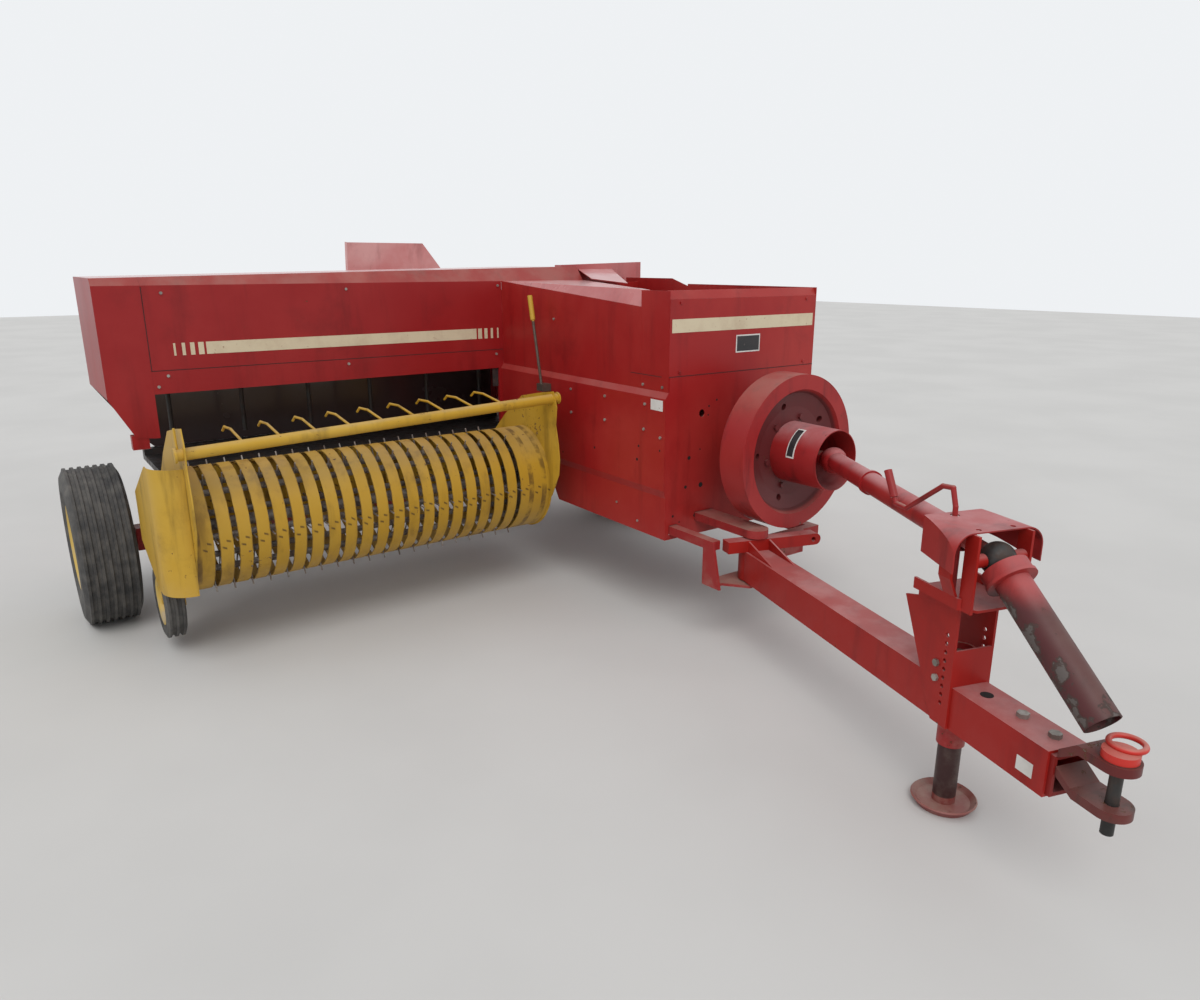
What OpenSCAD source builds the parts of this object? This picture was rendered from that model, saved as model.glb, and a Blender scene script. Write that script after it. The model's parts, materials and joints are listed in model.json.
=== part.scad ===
// Towed square baler with a side pickup, parked on its jack.
// The frame is millimetres: +X to the machine's left, -Y to its front, +Z up, and the ground is z = 0.

/* [Layout] */
// Bale case centre line, from the middle of the machine
case_x = 1070; // [1040:10:1140]
// Wheel axis, from the middle of the machine
axle_y = 537; // [480:1:620]

/* [Wheels] */
// Tyre outside diameter
tyre_d = 745; // [720:5:800]
// Tyre width
tyre_w = 240; // [230:10:290]
// Rim seat diameter
rim_d = 390; // [350:10:430]
// Right wheel centre, from the bale case centre line
right_wheel_reach = 2610; // [2560:10:2700]
// Left wheel centre, from the bale case centre line
left_wheel_reach = 470; // [450:10:520]
// Ribs around each tyre
tyre_ribs = 7; // [5:1:9]
// Spindle diameter
spindle_d = 56; // [44:2:64]
// Height of the axle beam
beam_h = 110; // [90:5:130]
// Depth of the axle beam
beam_w = 90; // [70:5:110]

/* [Bale case] */
// Bale width inside the case
bale_w = 457; // [420:1:480]
// Bale height inside the case
bale_h = 356; // [330:1:400]
// Wall of the case
case_wall = 8; // [5:1:12]
// Case floor above the ground
case_z = 670; // [640:10:690]
// Front end of the case, ahead of the wheel axis
case_front = 1080; // [1000:10:1150]
// Rear end of the case, behind the wheel axis
case_rear = 2560; // [2300:20:2700]
// Rail and post section of the case
rail_s = 40; // [30:5:50]
// Length of the plunger
plunger_len = 500; // [400:20:560]
// Slot for a needle
slot_w = 50; // [40:2:60]
// Spacing of the two twines
twine_gap = 190; // [160:10:220]

/* [Front body] */
// Front face of the body, ahead of the wheel axis
body_front = 1660; // [1620:10:1720]
// Right side of the body, from the case centre line
body_right = 510; // [480:10:540]
// Left side of the body, from the case centre line
body_left = 420; // [400:10:440]
// Bottom of the body side panel
body_z = 425; // [400:5:450]
// Length of the side panel's lower edge
body_low_len = 886; // [850:2:980]
// Upper edge of the lower side panel
ledge_z = 1078; // [1060:2:1110]
// How far the lower side panel stands out
ledge_out = 18; // [10:1:30]
// Crease in the lower side panel
crease_z = 660; // [640:5:680]
// Top of the twine box
body_top = 1542; // [1500:2:1580]
// Height at which the twine box front leans back
rim_z = 1505; // [1480:5:1520]
// Bottom of the twine box front
box_z = 1170; // [1140:10:1200]
// Bottom of the twine box front, left of the drive
box_low_z = 1115; // [1100:5:1150]
// Length of the twine box's right side
box_len = 200; // [180:10:380]
// Sheet of the body panels
sheet = 4; // [3:1:6]

/* [Feeder housing] */
// Front of the feeder housing, ahead of the wheel axis
feeder_front = 200; // [180:10:260]
// Depth of the feeder housing
feeder_depth = 670; // [640:10:760]
// Right end of the feeder housing, from the case centre line
feeder_end = 2510; // [2460:10:2600]
// Top of the feeder housing at its right end
feeder_top = 1592; // [1570:2:1620]
// Rise of the housing's roof towards the case
roof_rise = 36; // [0:2:50]
// Bend between the housing's front and its sloped edge
bend_z = 1560; // [1540:2:1580]
// Width of the leg at the housing's right end
leg_w = 190; // [160:5:220]
// Bottom of that leg
leg_z = 880; // [860:5:900]
// Top of the pickup's way in
mouth_top = 1080; // [1040:10:1100]
// Upper edge of the strip above the way in
strip_top = 1183; // [1160:1:1210]
// Feeder floor above the ground
floor_z = 690; // [680:5:710]
// Tines of the feeder forks
fork_tines = 6; // [4:1:8]

/* [Pickup] */
// Room between the pickup's outer sheet and the right tyre
wheel_room = 130; // [110:5:160]
// Inner end sheet, from the case centre line
pickup_inner = 690; // [670:10:720]
// Reel axis, ahead of the wheel axis
reel_y = 700; // [680:10:730]
// Reel axis above the ground
reel_z = 575; // [560:5:600]
// Outside radius of the stripper bands
band_r = 265; // [250:5:280]
// Radius of the tine tips
tine_r = 292; // [285:1:310]
// Distance from one tine slot to the next
tine_pitch = 74; // [70:1:84]
// First tine slot, from the outer end sheet
first_slot = 80; // [60:5:100]
// Last tine slot, from the inner end sheet
last_slot = 180; // [150:5:200]
// Tine bars on the reel
tine_bars = 6; // [4:1:6]
// Width of a stripper band
band_w = 52; // [40:1:58]
// Pivot of the pickup, ahead of the wheel axis
pickup_pivot_y = 262; // [255:1:275]
// Pivot of the pickup above the ground
pickup_pivot_z = 560; // [540:5:580]
// Wind guard tube diameter
guard_tube_d = 48; // [40:2:54]
// Sag of the wind guard's outer end
guard_sag = 2.2; // [0:0.1:3]
// Rods of the wind guard
guard_rods = 9; // [7:1:11]
// Gauge wheel diameter
gauge_d = 330; // [300:10:360]
// Gauge wheel width
gauge_w = 80; // [70:5:100]

/* [Drive line] */
// Flywheel diameter
flywheel_d = 690; // [640:10:720]
// Flywheel width
flywheel_w = 140; // [110:5:150]
// Drive line, to the right of the case centre line
drive_x = 55; // [40:5:70]
// Room between the flywheel and the tongue's crossbar
fly_room = 12; // [8:1:20]
// Back of the flywheel, ahead of the wheel axis
flywheel_back = 1880; // [1860:5:1900]
// Drive line joint at the flywheel, ahead of the wheel axis
joint_y = 2215; // [2200:5:2230]
// Outside diameter of the rear shaft guard
guard_d = 82; // [80:1:90]
// Length of the rear shaft guard
guard_len = 1090; // [1040:10:1090]
// Outside diameter of the sliding inner guard
inner_guard_d = 50; // [44:1:52]
// Outside diameter of the front shaft guard
front_guard_d = 98; // [84:2:104]

/* [Tongue] */
// Tongue pivot, ahead of the wheel axis
tongue_pivot_y = 2000; // [1990:5:2020]
// Tongue pivot, to the right of the case centre line
tongue_pivot_x = 280; // [270:5:310]
// Swing of the tongue to the right in transport
tongue_swing = 17.5; // [15:0.5:18]
// Tongue length from its pivot to the hitch pin
tongue_len = 1845; // [1780:5:1860]
// Tongue width
tongue_w = 128; // [115:1:134]
// Tongue height
tongue_h = 136; // [130:2:150]
// Bottom of the tongue above the ground
tongue_z = 300; // [290:5:305]
// Rear end of the sliding extension, behind the hitch pin
extension_len = 430; // [400:10:460]
// Front end of the tongue beam, behind the hitch pin
beam_back = 145; // [130:5:160]
// Height of the crossbar on the tongue
crossbar_h = 52; // [44:2:60]
// Hitch pin diameter
hitch_pin_d = 32; // [28:1:36]
// Drive line support, behind the hitch pin
support_back = 462; // [450:1:480]
// Top of the support tower's plates
tower_z = 700; // [690:5:710]
// Holes in each tower plate
tower_holes = 9; // [6:1:10]
// Jack, behind the hitch pin
jack_back = 555; // [540:5:560]
// Jack leg diameter
jack_leg_d = 70; // [60:2:74]
// Jack foot width
foot_w = 200; // [170:5:210]

/* [Chute and hoods] */
// Length of the bale chute
chute_len = 1180; // [1000:10:1250]
// Lean of the folded chute towards the case
chute_lean = 6; // [4:1:8]
// Wide part of the chute, right and left of the case centre line
chute_right = 385; // [340:5:400]
chute_left = 452; // [400:2:470]

/* [Hidden] */
$fn = 48;
running = 0.05;
gap = 0.3;
red = [0.62, 0.08, 0.09];
yellow = [0.87, 0.69, 0.14];
dark = [0.12, 0.11, 0.11];
steel = [0.55, 0.54, 0.52];
maroon = [0.33, 0.08, 0.09];

// Wheels and axle
right_wheel_x = case_x - right_wheel_reach;
left_wheel_x = case_x + left_wheel_reach;
wheel_z = tyre_d / 2;
inner_end_r = right_wheel_x + tyre_w / 2 + 30;
inner_end_l = left_wheel_x - tyre_w / 2 - 20;

// Case
half_case = bale_w / 2;
case_top = case_z + bale_h + 2 * case_wall;
case_right_x = case_x - half_case - case_wall;
case_left_x = case_x + half_case + case_wall;
case_y0 = axle_y - case_front;
case_y1 = axle_y + case_rear;
side_slot_len = case_rear - feeder_depth - 450;
chute_y = case_y1 + 120;
chute_z = case_z - 20;
chute_pin_d = 20;

// Body and housing
side_x = case_x - body_right;
left_x = case_x + body_left;
front_y = axle_y - body_front;
bin_rear_y = axle_y - feeder_front - 60;
feeder_y = axle_y - feeder_front;
feeder_back_y = feeder_y + feeder_depth;
feeder_x = case_x - feeder_end;
seam_x = feeder_x + leg_w;
floor_x = seam_x;
floor_lip = 48;
panel_x = side_x - ledge_out;
low_x = panel_x + 12;
ledge_top = ledge_z + 27;
roof_end_x = case_x - 60;
strip_end_x = case_x + 45;
roof_slope = roof_rise / (feeder_end - body_right);
bend_rise = 1.17;

// Knotters
knot_y = feeder_back_y + 300;
hood_w = 660;
hood_pin_d = 16;
hood_t = 4;
hood_z = case_top + 110;
hood_y = knot_y + 250;
meter_y = knot_y + 700;
meter_z = case_top + 110;

// Tongue and drive line
pivot = [case_x - tongue_pivot_x, axle_y - tongue_pivot_y];
beam_top = tongue_z + tongue_h;
drive_z = beam_top + crossbar_h + fly_room + flywheel_d / 2;
fly_x = case_x - drive_x;
fly_y0 = axle_y - flywheel_back - flywheel_w;
web_y = 45;
joint_a = [fly_x, axle_y - joint_y, drive_z];
joint_r = 56;
support_d = tongue_len - support_back;
joint_b = [pivot[0] - support_d * sin(tongue_swing), pivot[1] - support_d * cos(tongue_swing), drive_z + 5];
cross_r = 50;
pin_y = -tongue_len;
beam_front_y = pin_y + beam_back;
jack_y = pin_y + jack_back;
sleeve_z = [215, beam_top + 100];
sleeve_d = jack_leg_d + 14;
clevis_z = [tongue_z + 40, beam_top + 29];
plate_t = 25;
pin_tip_z = clevis_z[0] - 60;
cover_top = drive_z + 90;

// Frame
rail_h = 90;
rail_w = 50;
rail_z = beam_top + 40;
rail_x = [case_x - 330, case_x + 270];
rail_front_y = front_y + 30;
rail_rear_y = axle_y - beam_w / 2 - gap;

// Pickup
pickup_left_x = case_x - pickup_inner;
pickup_right_x = right_wheel_x + tyre_w / 2 + wheel_room;
pickup_w = pickup_left_x - pickup_right_x;
tine_slots = 1 + floor((pickup_w - first_slot - last_slot) / tine_pitch);
reel_cy = axle_y - reel_y;
pick_arm_y = axle_y - pickup_pivot_y;
reel_shaft_d = 50;
pivot_pin_d = 30;
pin_in = 60;
band_t = 4;
bar_r = 190;
guard_y = reel_cy - 285;
guard_z = reel_z + 437;
gauge_x = pickup_right_x - 65;
gauge_y = reel_cy + 140;
gauge_z = gauge_d / 2 + 62;

// Turns a shape's Z axis to the machine's X axis
module across() { rotate([90, 0, 90]) children(); }
// Puts a shape along the line from p to q, from p
module along(p, q) {
    d = q - p;
    translate(p) rotate([0, acos(d[2] / norm(d)), atan2(d[1], d[0])]) children();
}
// A box from its lowest to its highest corner
module span(a, b) { translate(a) cube(b - a); }
// The tongue's own frame: origin on the ground under its pivot, -Y along the tongue
module on_tongue() { translate([pivot[0], pivot[1], 0]) rotate([0, 0, -tongue_swing]) children(); }
// A flat sheet in the YZ plane from an outline of [y, z] points
module sheet_yz(x, thick, points) { translate([x, 0, 0]) across() linear_extrude(thick) polygon(points); }
// A flat sheet in the XZ plane from an outline of [x, z] points, from y backwards
module sheet_xz(y, thick, points) {
    translate([0, y + thick, 0]) rotate([90, 0, 0]) linear_extrude(thick) polygon(points);
}
// A flat sheet in the XY plane from an outline of [x, y] points
module sheet_xy(z, thick, points) { translate([0, 0, z]) linear_extrude(thick) polygon(points); }
// A three-cornered sheet, its top through three points
module corner_sheet(points) { hull() for (p = points) translate(p - [0, 0, sheet]) cube(sheet); }
// A disc or tube along X, from x0 to x1
module disc_x(x0, x1, r, hole = 0) {
    translate([x0, 0, 0]) rotate([0, 90, 0]) difference() {
        cylinder(h = x1 - x0, r = r);
        if (hole > 0) translate([0, 0, -1]) cylinder(h = x1 - x0 + 2, r = hole);
    }
}
// A bent rod through a list of points
module bent_rod(points, d) {
    for (i = [0 : len(points) - 2]) {
        along(points[i], points[i + 1]) cylinder(h = norm(points[i + 1] - points[i]), d = d);
        if (i > 0) translate(points[i]) sphere(d = d + 1);
    }
}

// Wheels
module tyre(r, w, seat, ribs) {
    tread_w = w * 0.86;
    rib = tread_w / (2 * ribs - 1);
    tread = [for (i = [0 : ribs - 1], p = [[0, -9], [0.15, 0], [0.85, 0], [1, -9]])
        [r + p[1], -tread_w / 2 + (2 * i + p[0]) * rib]];
    rotate([0, 90, 0]) rotate_extrude()
        polygon(concat([[seat, -w * 0.36], [r * 0.72, -w * 0.5], [r * 0.9, -w * 0.49]], tread,
            [[r * 0.9, w * 0.49], [r * 0.72, w * 0.5], [seat, w * 0.36]]));
}
module rim(seat, w, hub_r, bore) {
    lip = seat * 0.06;
    rotate([0, 90, 0]) rotate_extrude()
        polygon([[seat, -w * 0.37], [seat + lip, -w * 0.44], [seat + lip, -w * 0.46],
            [seat - lip, -w * 0.4],
            [seat - 2 * lip, -w * 0.1], [seat * 0.62, -w * 0.16], [hub_r + 14, -w * 0.05],
                [hub_r, -w * 0.05],
            [hub_r, -w * 0.3], [bore, -w * 0.3], [bore, w * 0.22], [hub_r, w * 0.22], [hub_r, w * 0.02],
            [hub_r + 14, w * 0.02], [seat * 0.62, -w * 0.1], [seat - 1.7 * lip, -w * 0.04],
                [seat - lip, w * 0.4],
            [seat + lip, w * 0.46], [seat + lip, w * 0.44], [seat, w * 0.37]]);
}
module main_tyre(x) {
    color(dark) translate([x, axle_y, wheel_z]) tyre(tyre_d / 2, tyre_w, rim_d / 2 + gap, tyre_ribs);
}
module main_rim(x, side) {
    color(yellow) translate([x, axle_y, wheel_z]) mirror([side < 0 ? 0 : 1, 0, 0])
        rim(rim_d / 2, tyre_w, 62, spindle_d / 2 + running);
}
module right_tyre() { main_tyre(right_wheel_x); }
module left_tyre() { main_tyre(left_wheel_x); }
module right_rim() { main_rim(right_wheel_x, -1); }
module left_rim() { main_rim(left_wheel_x, 1); }

// Frame
module axle_beam() {
    post_w = 60;
    color(red) {
        span([inner_end_r, axle_y - beam_w / 2, wheel_z - beam_h / 2],
            [inner_end_l, axle_y + beam_w / 2, wheel_z + beam_h / 2]);
        for (side = [-1, 1]) {
            wheel_x = side < 0 ? right_wheel_x : left_wheel_x;
            end_x = side < 0 ? inner_end_r : inner_end_l;
            translate([side < 0 ? wheel_x - tyre_w * 0.26 : end_x, axle_y, wheel_z]) rotate([0, 90, 0])
                cylinder(h = abs(end_x - wheel_x) + tyre_w * 0.26, d = spindle_d);
        }
        for (x = [case_x - half_case, case_x + half_case - post_w])
            span([x, axle_y - beam_w / 2, wheel_z + beam_h / 2], [x + post_w, axle_y + beam_w / 2,
                case_z - gap]);
        span([floor_x + 20, axle_y - 30, wheel_z + beam_h / 2], [floor_x + 80, axle_y + 30,
            floor_z - 30 - gap]);
    }
}
module main_frame() {
    cross_w = 60;
    stand_w = 40;
    stand_len = 80;
    inner_x = [rail_x[0] + rail_w + gap, rail_x[1] - gap];
    color(red) {
        for (x = rail_x) {
            span([x, rail_front_y, rail_z], [x + rail_w, rail_rear_y, rail_z + rail_h]);
            span([x, rail_rear_y - rail_h, wheel_z - beam_h / 2], [x + rail_w, rail_rear_y, rail_z - gap]);
        }
        for (y = [rail_front_y, case_y0 - cross_w, rail_rear_y - 400])
            span([inner_x[0], y, rail_z], [inner_x[1], y + cross_w, rail_z + rail_h]);
        for (x = [rail_x[0] + 5, rail_x[1] + 5])
            span([x, case_y0 + cross_w, rail_z + rail_h + gap],
                [x + stand_w, case_y0 + cross_w + stand_len, case_z - gap]);
        for (x = rail_x)
            span([x + 5, case_y0 + cross_w, case_z - 30], [x < case_x ? case_x - half_case : x + 45,
                case_y0 + cross_w + stand_len, case_z - gap]);
    }
}

// Bale case: floor, top, left wall, and a right wall in two parts with the feeder's way in between them
module needle_slots(z) {
    for (side = [-1, 1]) translate([case_x + side * twine_gap / 2, knot_y, z])
        cube([slot_w, 290, 4 * case_wall], center = true);
}
module side_slots(x) {
    for (z = [case_z + bale_h * 0.34, case_z + bale_h * 0.65])
        span([x - 1, feeder_back_y + 450, z],
            [x + case_wall + 1, feeder_back_y + 450 + side_slot_len - 400, z + slot_w]);
}
module bale_case() {
    wall_z = [case_z + case_wall + gap, case_top - case_wall - gap];
    color(red) {
        for (z = [case_z, case_top - case_wall]) difference() {
            span([case_right_x, case_y0, z], [case_left_x, case_y1, z + case_wall]);
            needle_slots(z);
        }
        difference() {
            span([case_left_x - case_wall, case_y0, wall_z[0]], [case_left_x, case_y1, wall_z[1]]);
            side_slots(case_left_x - case_wall);
        }
        span([case_right_x, case_y0, wall_z[0]], [case_right_x + case_wall, feeder_y + 20, wall_z[1]]);
        difference() {
            span([case_right_x, feeder_back_y - 60, wall_z[0]], [case_right_x + case_wall, case_y1,
                wall_z[1]]);
            side_slots(case_right_x);
        }
        span([case_right_x + case_wall + gap, case_y0, wall_z[0]],
            [case_left_x - case_wall - gap, case_y0 + case_wall, wall_z[1]]);
    }
}
module case_rails() {
    bracket_t = 15;
    post_x = [case_right_x - 2 * rail_s - 2 * gap, case_left_x + rail_s + 2 * gap];
    post_z = [case_z - rail_s, case_top + 120];
    bracket_x = [case_x - 205, case_x + 190];
    color(red) {
        for (x = bracket_x) {
            inner = x < case_x;
            span([x, case_y1 - 80, chute_z - 25], [x + bracket_t, chute_y + 18, case_z - gap]);
            translate([0, chute_y, chute_z])
                disc_x(inner ? x : case_x + 140, inner ? case_x - 140 : x + bracket_t, chute_pin_d / 2);
        }
        for (x = [case_right_x - rail_s - gap, case_left_x + gap],
            z = [case_z + 10, case_top - rail_s - 10])
            span([x, feeder_back_y + 60, z], [x + rail_s, case_y1, z + rail_s]);
        for (y = [case_y1 - 700, case_y1 - 80]) {
            for (x = post_x) span([x, y, post_z[0]], [x + rail_s, y + rail_s, post_z[1]]);
            for (z = [post_z[0] - rail_s - gap, post_z[1] + gap])
                span([post_x[0], y, z], [post_x[1] + rail_s, y + rail_s, z + rail_s]);
        }
    }
}
module tension_gear() {
    spring_h = 100;
    rod_h = 190;
    crank_r = 130;
    color(steel) for (x = [case_x - 150, case_x + 150])
        translate([x, case_y1 - 60, case_top + 120 + rail_s + 2 * gap]) {
        cylinder(h = rod_h, d = 24);
        translate([0, 0, 20]) cylinder(h = spring_h, d = 36);
        for (i = [0 : 5]) translate([0, 0, 26 + i * 16]) rotate_extrude() translate([20, 0]) circle(d = 9);
        translate([0, 0, rod_h]) cylinder(h = 20, d = 50);
        translate([0, 0, rod_h + 20]) rotate([90, 0, 0]) cylinder(h = crank_r, d = 18);
        translate([0, -crank_r, rod_h + 10]) cylinder(h = 90, d = 22);
    }
}
module gearbox() {
    half_w = 170;
    half_h = 190;
    foot_y = [front_y + 120, front_y + 300];
    foot_t = 40;
    face_y = front_y + 40;
    color(red) {
        span([fly_x - half_w, face_y, drive_z - half_h], [fly_x + half_w, case_y0 - 20, drive_z + half_h]);
        translate([fly_x, face_y + 1, drive_z]) rotate([90, 0, 0])
            cylinder(h = face_y + 1 - (axle_y - flywheel_back) - 8, d = half_w);
        translate([fly_x, face_y + 1, drive_z]) rotate([90, 0, 0])
            cylinder(h = face_y + 1 - joint_a[1] - joint_r - gap, d = 60);
        span([rail_x[0], foot_y[0], drive_z - half_h], [rail_x[1] + rail_w, foot_y[1],
            drive_z - half_h + foot_t]);
        for (x = rail_x)
            span([x + 5, foot_y[0], rail_z + rail_h + gap], [x + rail_w - 5, foot_y[1], drive_z - half_h]);
    }
}
module plunger() {
    color(steel) span([case_x - half_case + 6, case_y0 + 60, case_z + case_wall + gap],
        [case_x + half_case - 6, case_y0 + 60 + plunger_len, case_top - case_wall - 6]);
}

// Knotters
module knotter_frame() {
    side_t = 30;
    inner_x = hood_w / 2 - hood_t - 16 - side_t;
    color(red) {
        for (x = [case_x - inner_x - side_t, case_x + inner_x]) difference() {
            sheet_yz(x, side_t, [[knot_y - 150, case_top - 100], [knot_y + 150, case_top - 100],
                [hood_y + 15, hood_z - 15], [hood_y + 15, hood_z + 15], [knot_y + 150, case_top + 240],
                [knot_y - 150, case_top + 240]]);
            translate([0, hood_y, hood_z]) disc_x(x - 1, x + side_t + 1, hood_pin_d / 2 + running);
        }
        for (y = [knot_y - 150, knot_y + 90])
            span([case_x - inner_x + gap, y, case_top + gap], [case_x + inner_x - gap, y + 60,
                case_top + 40]);
    }
}
module knotters() {
    shaft_z = case_top + 190;
    color(steel) {
        translate([0, knot_y, shaft_z]) disc_x(case_x - hood_w * 0.424 + gap,
            case_x + hood_w * 0.424 - gap, 25);
        for (x = [case_x - twine_gap / 2, case_x + twine_gap / 2]) {
            translate([0, knot_y, shaft_z]) disc_x(x - 12, x + 12, 125);
            span([x + 12, knot_y - 90, case_top + 45], [x + 60, knot_y + 60, shaft_z]);
            translate([x + 36, knot_y - 90, case_top + 80]) rotate([60, 0, 0]) cylinder(h = 60, d = 26);
        }
        for (x = [case_x - 20, case_x + 10])
            span([x, meter_y - 25, case_top + gap], [x + 10, meter_y + 25, meter_z + 20]);
        translate([0, meter_y, meter_z]) disc_x(case_x - 20, case_x + 20, 10);
    }
}
module knotter_hood() {
    outer = [[knot_y - 230, hood_z - 50], [knot_y - 230, hood_z + 190], [knot_y - 150, hood_z + 290],
        [knot_y + 170, hood_z + 290], [hood_y, hood_z + 200], [hood_y, hood_z + 42]];
    inner = [[hood_y - hood_t, hood_z + 42], [hood_y - hood_t, hood_z + 198], [knot_y + 168, hood_z + 286],
        [knot_y - 148, hood_z + 286], [knot_y - 226, hood_z + 188], [knot_y - 226, hood_z - 50]];
    color(red) {
        sheet_yz(case_x - hood_w / 2, hood_w, concat(outer, inner));
        for (x = [case_x - hood_w / 2, case_x + hood_w / 2 - hood_t])
            sheet_yz(x, hood_t, concat(outer, [[hood_y + 15, hood_z + 15], [hood_y + 15, hood_z - 15],
                [hood_y - 30, hood_z - 15]]));
        translate([0, hood_y, hood_z]) disc_x(case_x - hood_w / 2 + 2, case_x + hood_w / 2 - 2,
            hood_pin_d / 2);
    }
}
module needle_yoke() {
    arm_out = 345;
    arm_s = 40;
    drop = 240;
    color(red) {
        for (side = [-1, 1]) {
            x = side < 0 ? case_x - arm_out : case_x + arm_out - arm_s;
            span([x, knot_y - 60, case_z - drop], [x + arm_s, knot_y + 20, case_z + 200]);
            translate([0, knot_y - 20, case_z + 150])
                disc_x(side < 0 ? x + arm_s - 1 : case_left_x + gap, side < 0 ? case_right_x - gap
                    : x + 1, 20);
        }
        span([case_x - arm_out, knot_y - 60, case_z - drop], [case_x + arm_out, knot_y + 20,
            case_z - drop + arm_s]);
        for (x = [case_x - twine_gap / 2, case_x + twine_gap / 2]) translate([x - 10, knot_y - drop,
            case_z - drop + 5])
            across() rotate_extrude(angle = 60) translate([230, 0]) square([arm_s, 20]);
    }
}
module metering_wheel() {
    color(steel) translate([case_x, meter_y, meter_z]) rotate([0, 90, 0]) difference() {
        translate([0, 0, -4]) cylinder(h = 8, d = 200, $fn = 12);
        translate([0, 0, -5]) cylinder(h = 10, r = 10 + running);
    }
}

// Feeder housing: its roof rises towards the case, and its front has a sloped upper edge
function roof_z(x) = feeder_top + (x - feeder_x) * roof_slope;
module under_roof(depth) {
    sheet_xz(feeder_y - 1, depth, [[feeder_x, leg_z - 60], [feeder_x, roof_z(feeder_x)],
        [strip_end_x, roof_z(strip_end_x)], [strip_end_x, leg_z - 60]]);
}
// The housing's front sheet in section: upright, then leaning back at a constant slope
module front_profile(x, width, z0) {
    lean_z = bend_z + 90;
    lean_y = 90 / bend_rise;
    sheet_yz(x, width, [[feeder_y, z0], [feeder_y, bend_z], [feeder_y + lean_y, lean_z],
        [feeder_y + lean_y + sheet, lean_z], [feeder_y + sheet, bend_z], [feeder_y + sheet, z0]]);
}
module feeder_shell() {
    back_z = floor_z + 30;
    roof_y = feeder_y + 2 * sheet;
    color(red) {
        intersection() {
            sheet_xz(feeder_y, feeder_depth, [[feeder_x + sheet, roof_z(feeder_x)],
                [roof_end_x, roof_z(roof_end_x)],
                [roof_end_x, roof_z(roof_end_x) - sheet], [feeder_x + sheet, roof_z(feeder_x) - sheet]]);
            sheet_xy(feeder_top - 100, 200, [
                [feeder_x, roof_y + (feeder_top - bend_z) / bend_rise],
                [roof_end_x, roof_y + (roof_z(roof_end_x) - bend_z) / bend_rise],
                [roof_end_x, feeder_back_y], [feeder_x, feeder_back_y]]);
        }
        sheet_xz(feeder_back_y - sheet, sheet, [[feeder_x, mouth_top - 10], [seam_x, leg_z - 100],
            [seam_x + 60, back_z], [case_right_x - gap, back_z],
            [case_right_x - gap, roof_z(case_right_x) - 1], [feeder_x, feeder_top - 1]]);
        sheet_yz(roof_end_x - sheet, sheet, [[bin_rear_y + 160, feeder_top - 110],
            [feeder_back_y, feeder_top - 110],
            [feeder_back_y, feeder_top + roof_rise - 5], [bin_rear_y + 160, feeder_top + roof_rise - 5]]);
        sheet_xz(feeder_y + 73, 70, [[roof_end_x + gap, feeder_top - 60], [case_x + 540, feeder_top - 60],
            [case_x + 540, feeder_top + 72], [roof_end_x + gap, feeder_top + 54]]);
    }
}
module feeder_front_panel() {
    color(red) intersection() {
        under_roof(200);
        union() {
            front_profile(seam_x + gap, side_x - seam_x - 2 * gap, strip_top);
            front_profile(side_x - 2 * gap, strip_end_x - side_x, bend_z - sheet);
        }
    }
}
module feeder_strip() {
    jamb_w = 30;
    color(red) {
        span([seam_x + gap, feeder_y, mouth_top], [side_x - gap, feeder_y + 20, strip_top - gap]);
        span([side_x - jamb_w, feeder_y, floor_z], [side_x - gap, feeder_y + 20, mouth_top]);
    }
}
module feeder_end_panel() {
    taper_x = 93;
    color(red) {
        intersection() {
            under_roof(feeder_depth + 2);
            union() {
                sheet_yz(feeder_x, sheet, [[feeder_y, mouth_top - 10], [feeder_y, bend_z],
                    [feeder_y + 90 / bend_rise, bend_z + 90], [feeder_back_y - sheet - gap, bend_z + 90],
                    [feeder_back_y - sheet - gap, mouth_top - 10]]);
                front_profile(feeder_x, leg_w, mouth_top - 10);
            }
        }
        sheet_xz(feeder_y, sheet, [[feeder_x, mouth_top - 10], [feeder_x + taper_x, leg_z + 9],
            [feeder_x + leg_w - 20, leg_z], [feeder_x + leg_w, leg_z], [feeder_x + leg_w, mouth_top - 10]]);
        span([feeder_x + taper_x - 20, feeder_y + sheet - 1, leg_z - 45], [feeder_x + taper_x + 50,
            feeder_y + 50, leg_z + 20]);
    }
}
module feeder_floor() {
    inner_y = feeder_back_y - sheet - gap;
    color(red) {
        span([floor_x, feeder_y - floor_lip, floor_z - 30], [case_right_x - gap, inner_y, floor_z]);
        span([floor_x, inner_y - 60, floor_z], [case_right_x - gap, inner_y, floor_z + 30]);
    }
}
module feeder_forks() {
    bar_y = feeder_y + feeder_depth / 2;
    bar_s = 70;
    bar_z = feeder_top - 160;
    tine_d = 22;
    tine_z = floor_z + 120;
    bar_x = [feeder_x + 60, case_x - 320];
    tine_gap = (bar_x[1] - bar_x[0] - 400) / (fork_tines - 1);
    color(steel) {
        span([bar_x[0], bar_y, bar_z], [bar_x[1], bar_y + bar_s, bar_z + bar_s]);
        for (i = [0 : fork_tines - 1]) translate([bar_x[0] + 240 + i * tine_gap, bar_y + bar_s / 2, tine_z])
            cylinder(h = bar_z - tine_z - gap, d = tine_d);
        for (x = [bar_x[0] + 40, bar_x[1] - 100])
            sheet_xz(bar_y + 10, bar_s - 20, [[x, bar_z + bar_s + gap], [x + 60, bar_z + bar_s + gap],
                [x + 60, roof_z(x + 60) - sheet - gap], [x, roof_z(x) - sheet - gap]]);
    }
}

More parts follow.
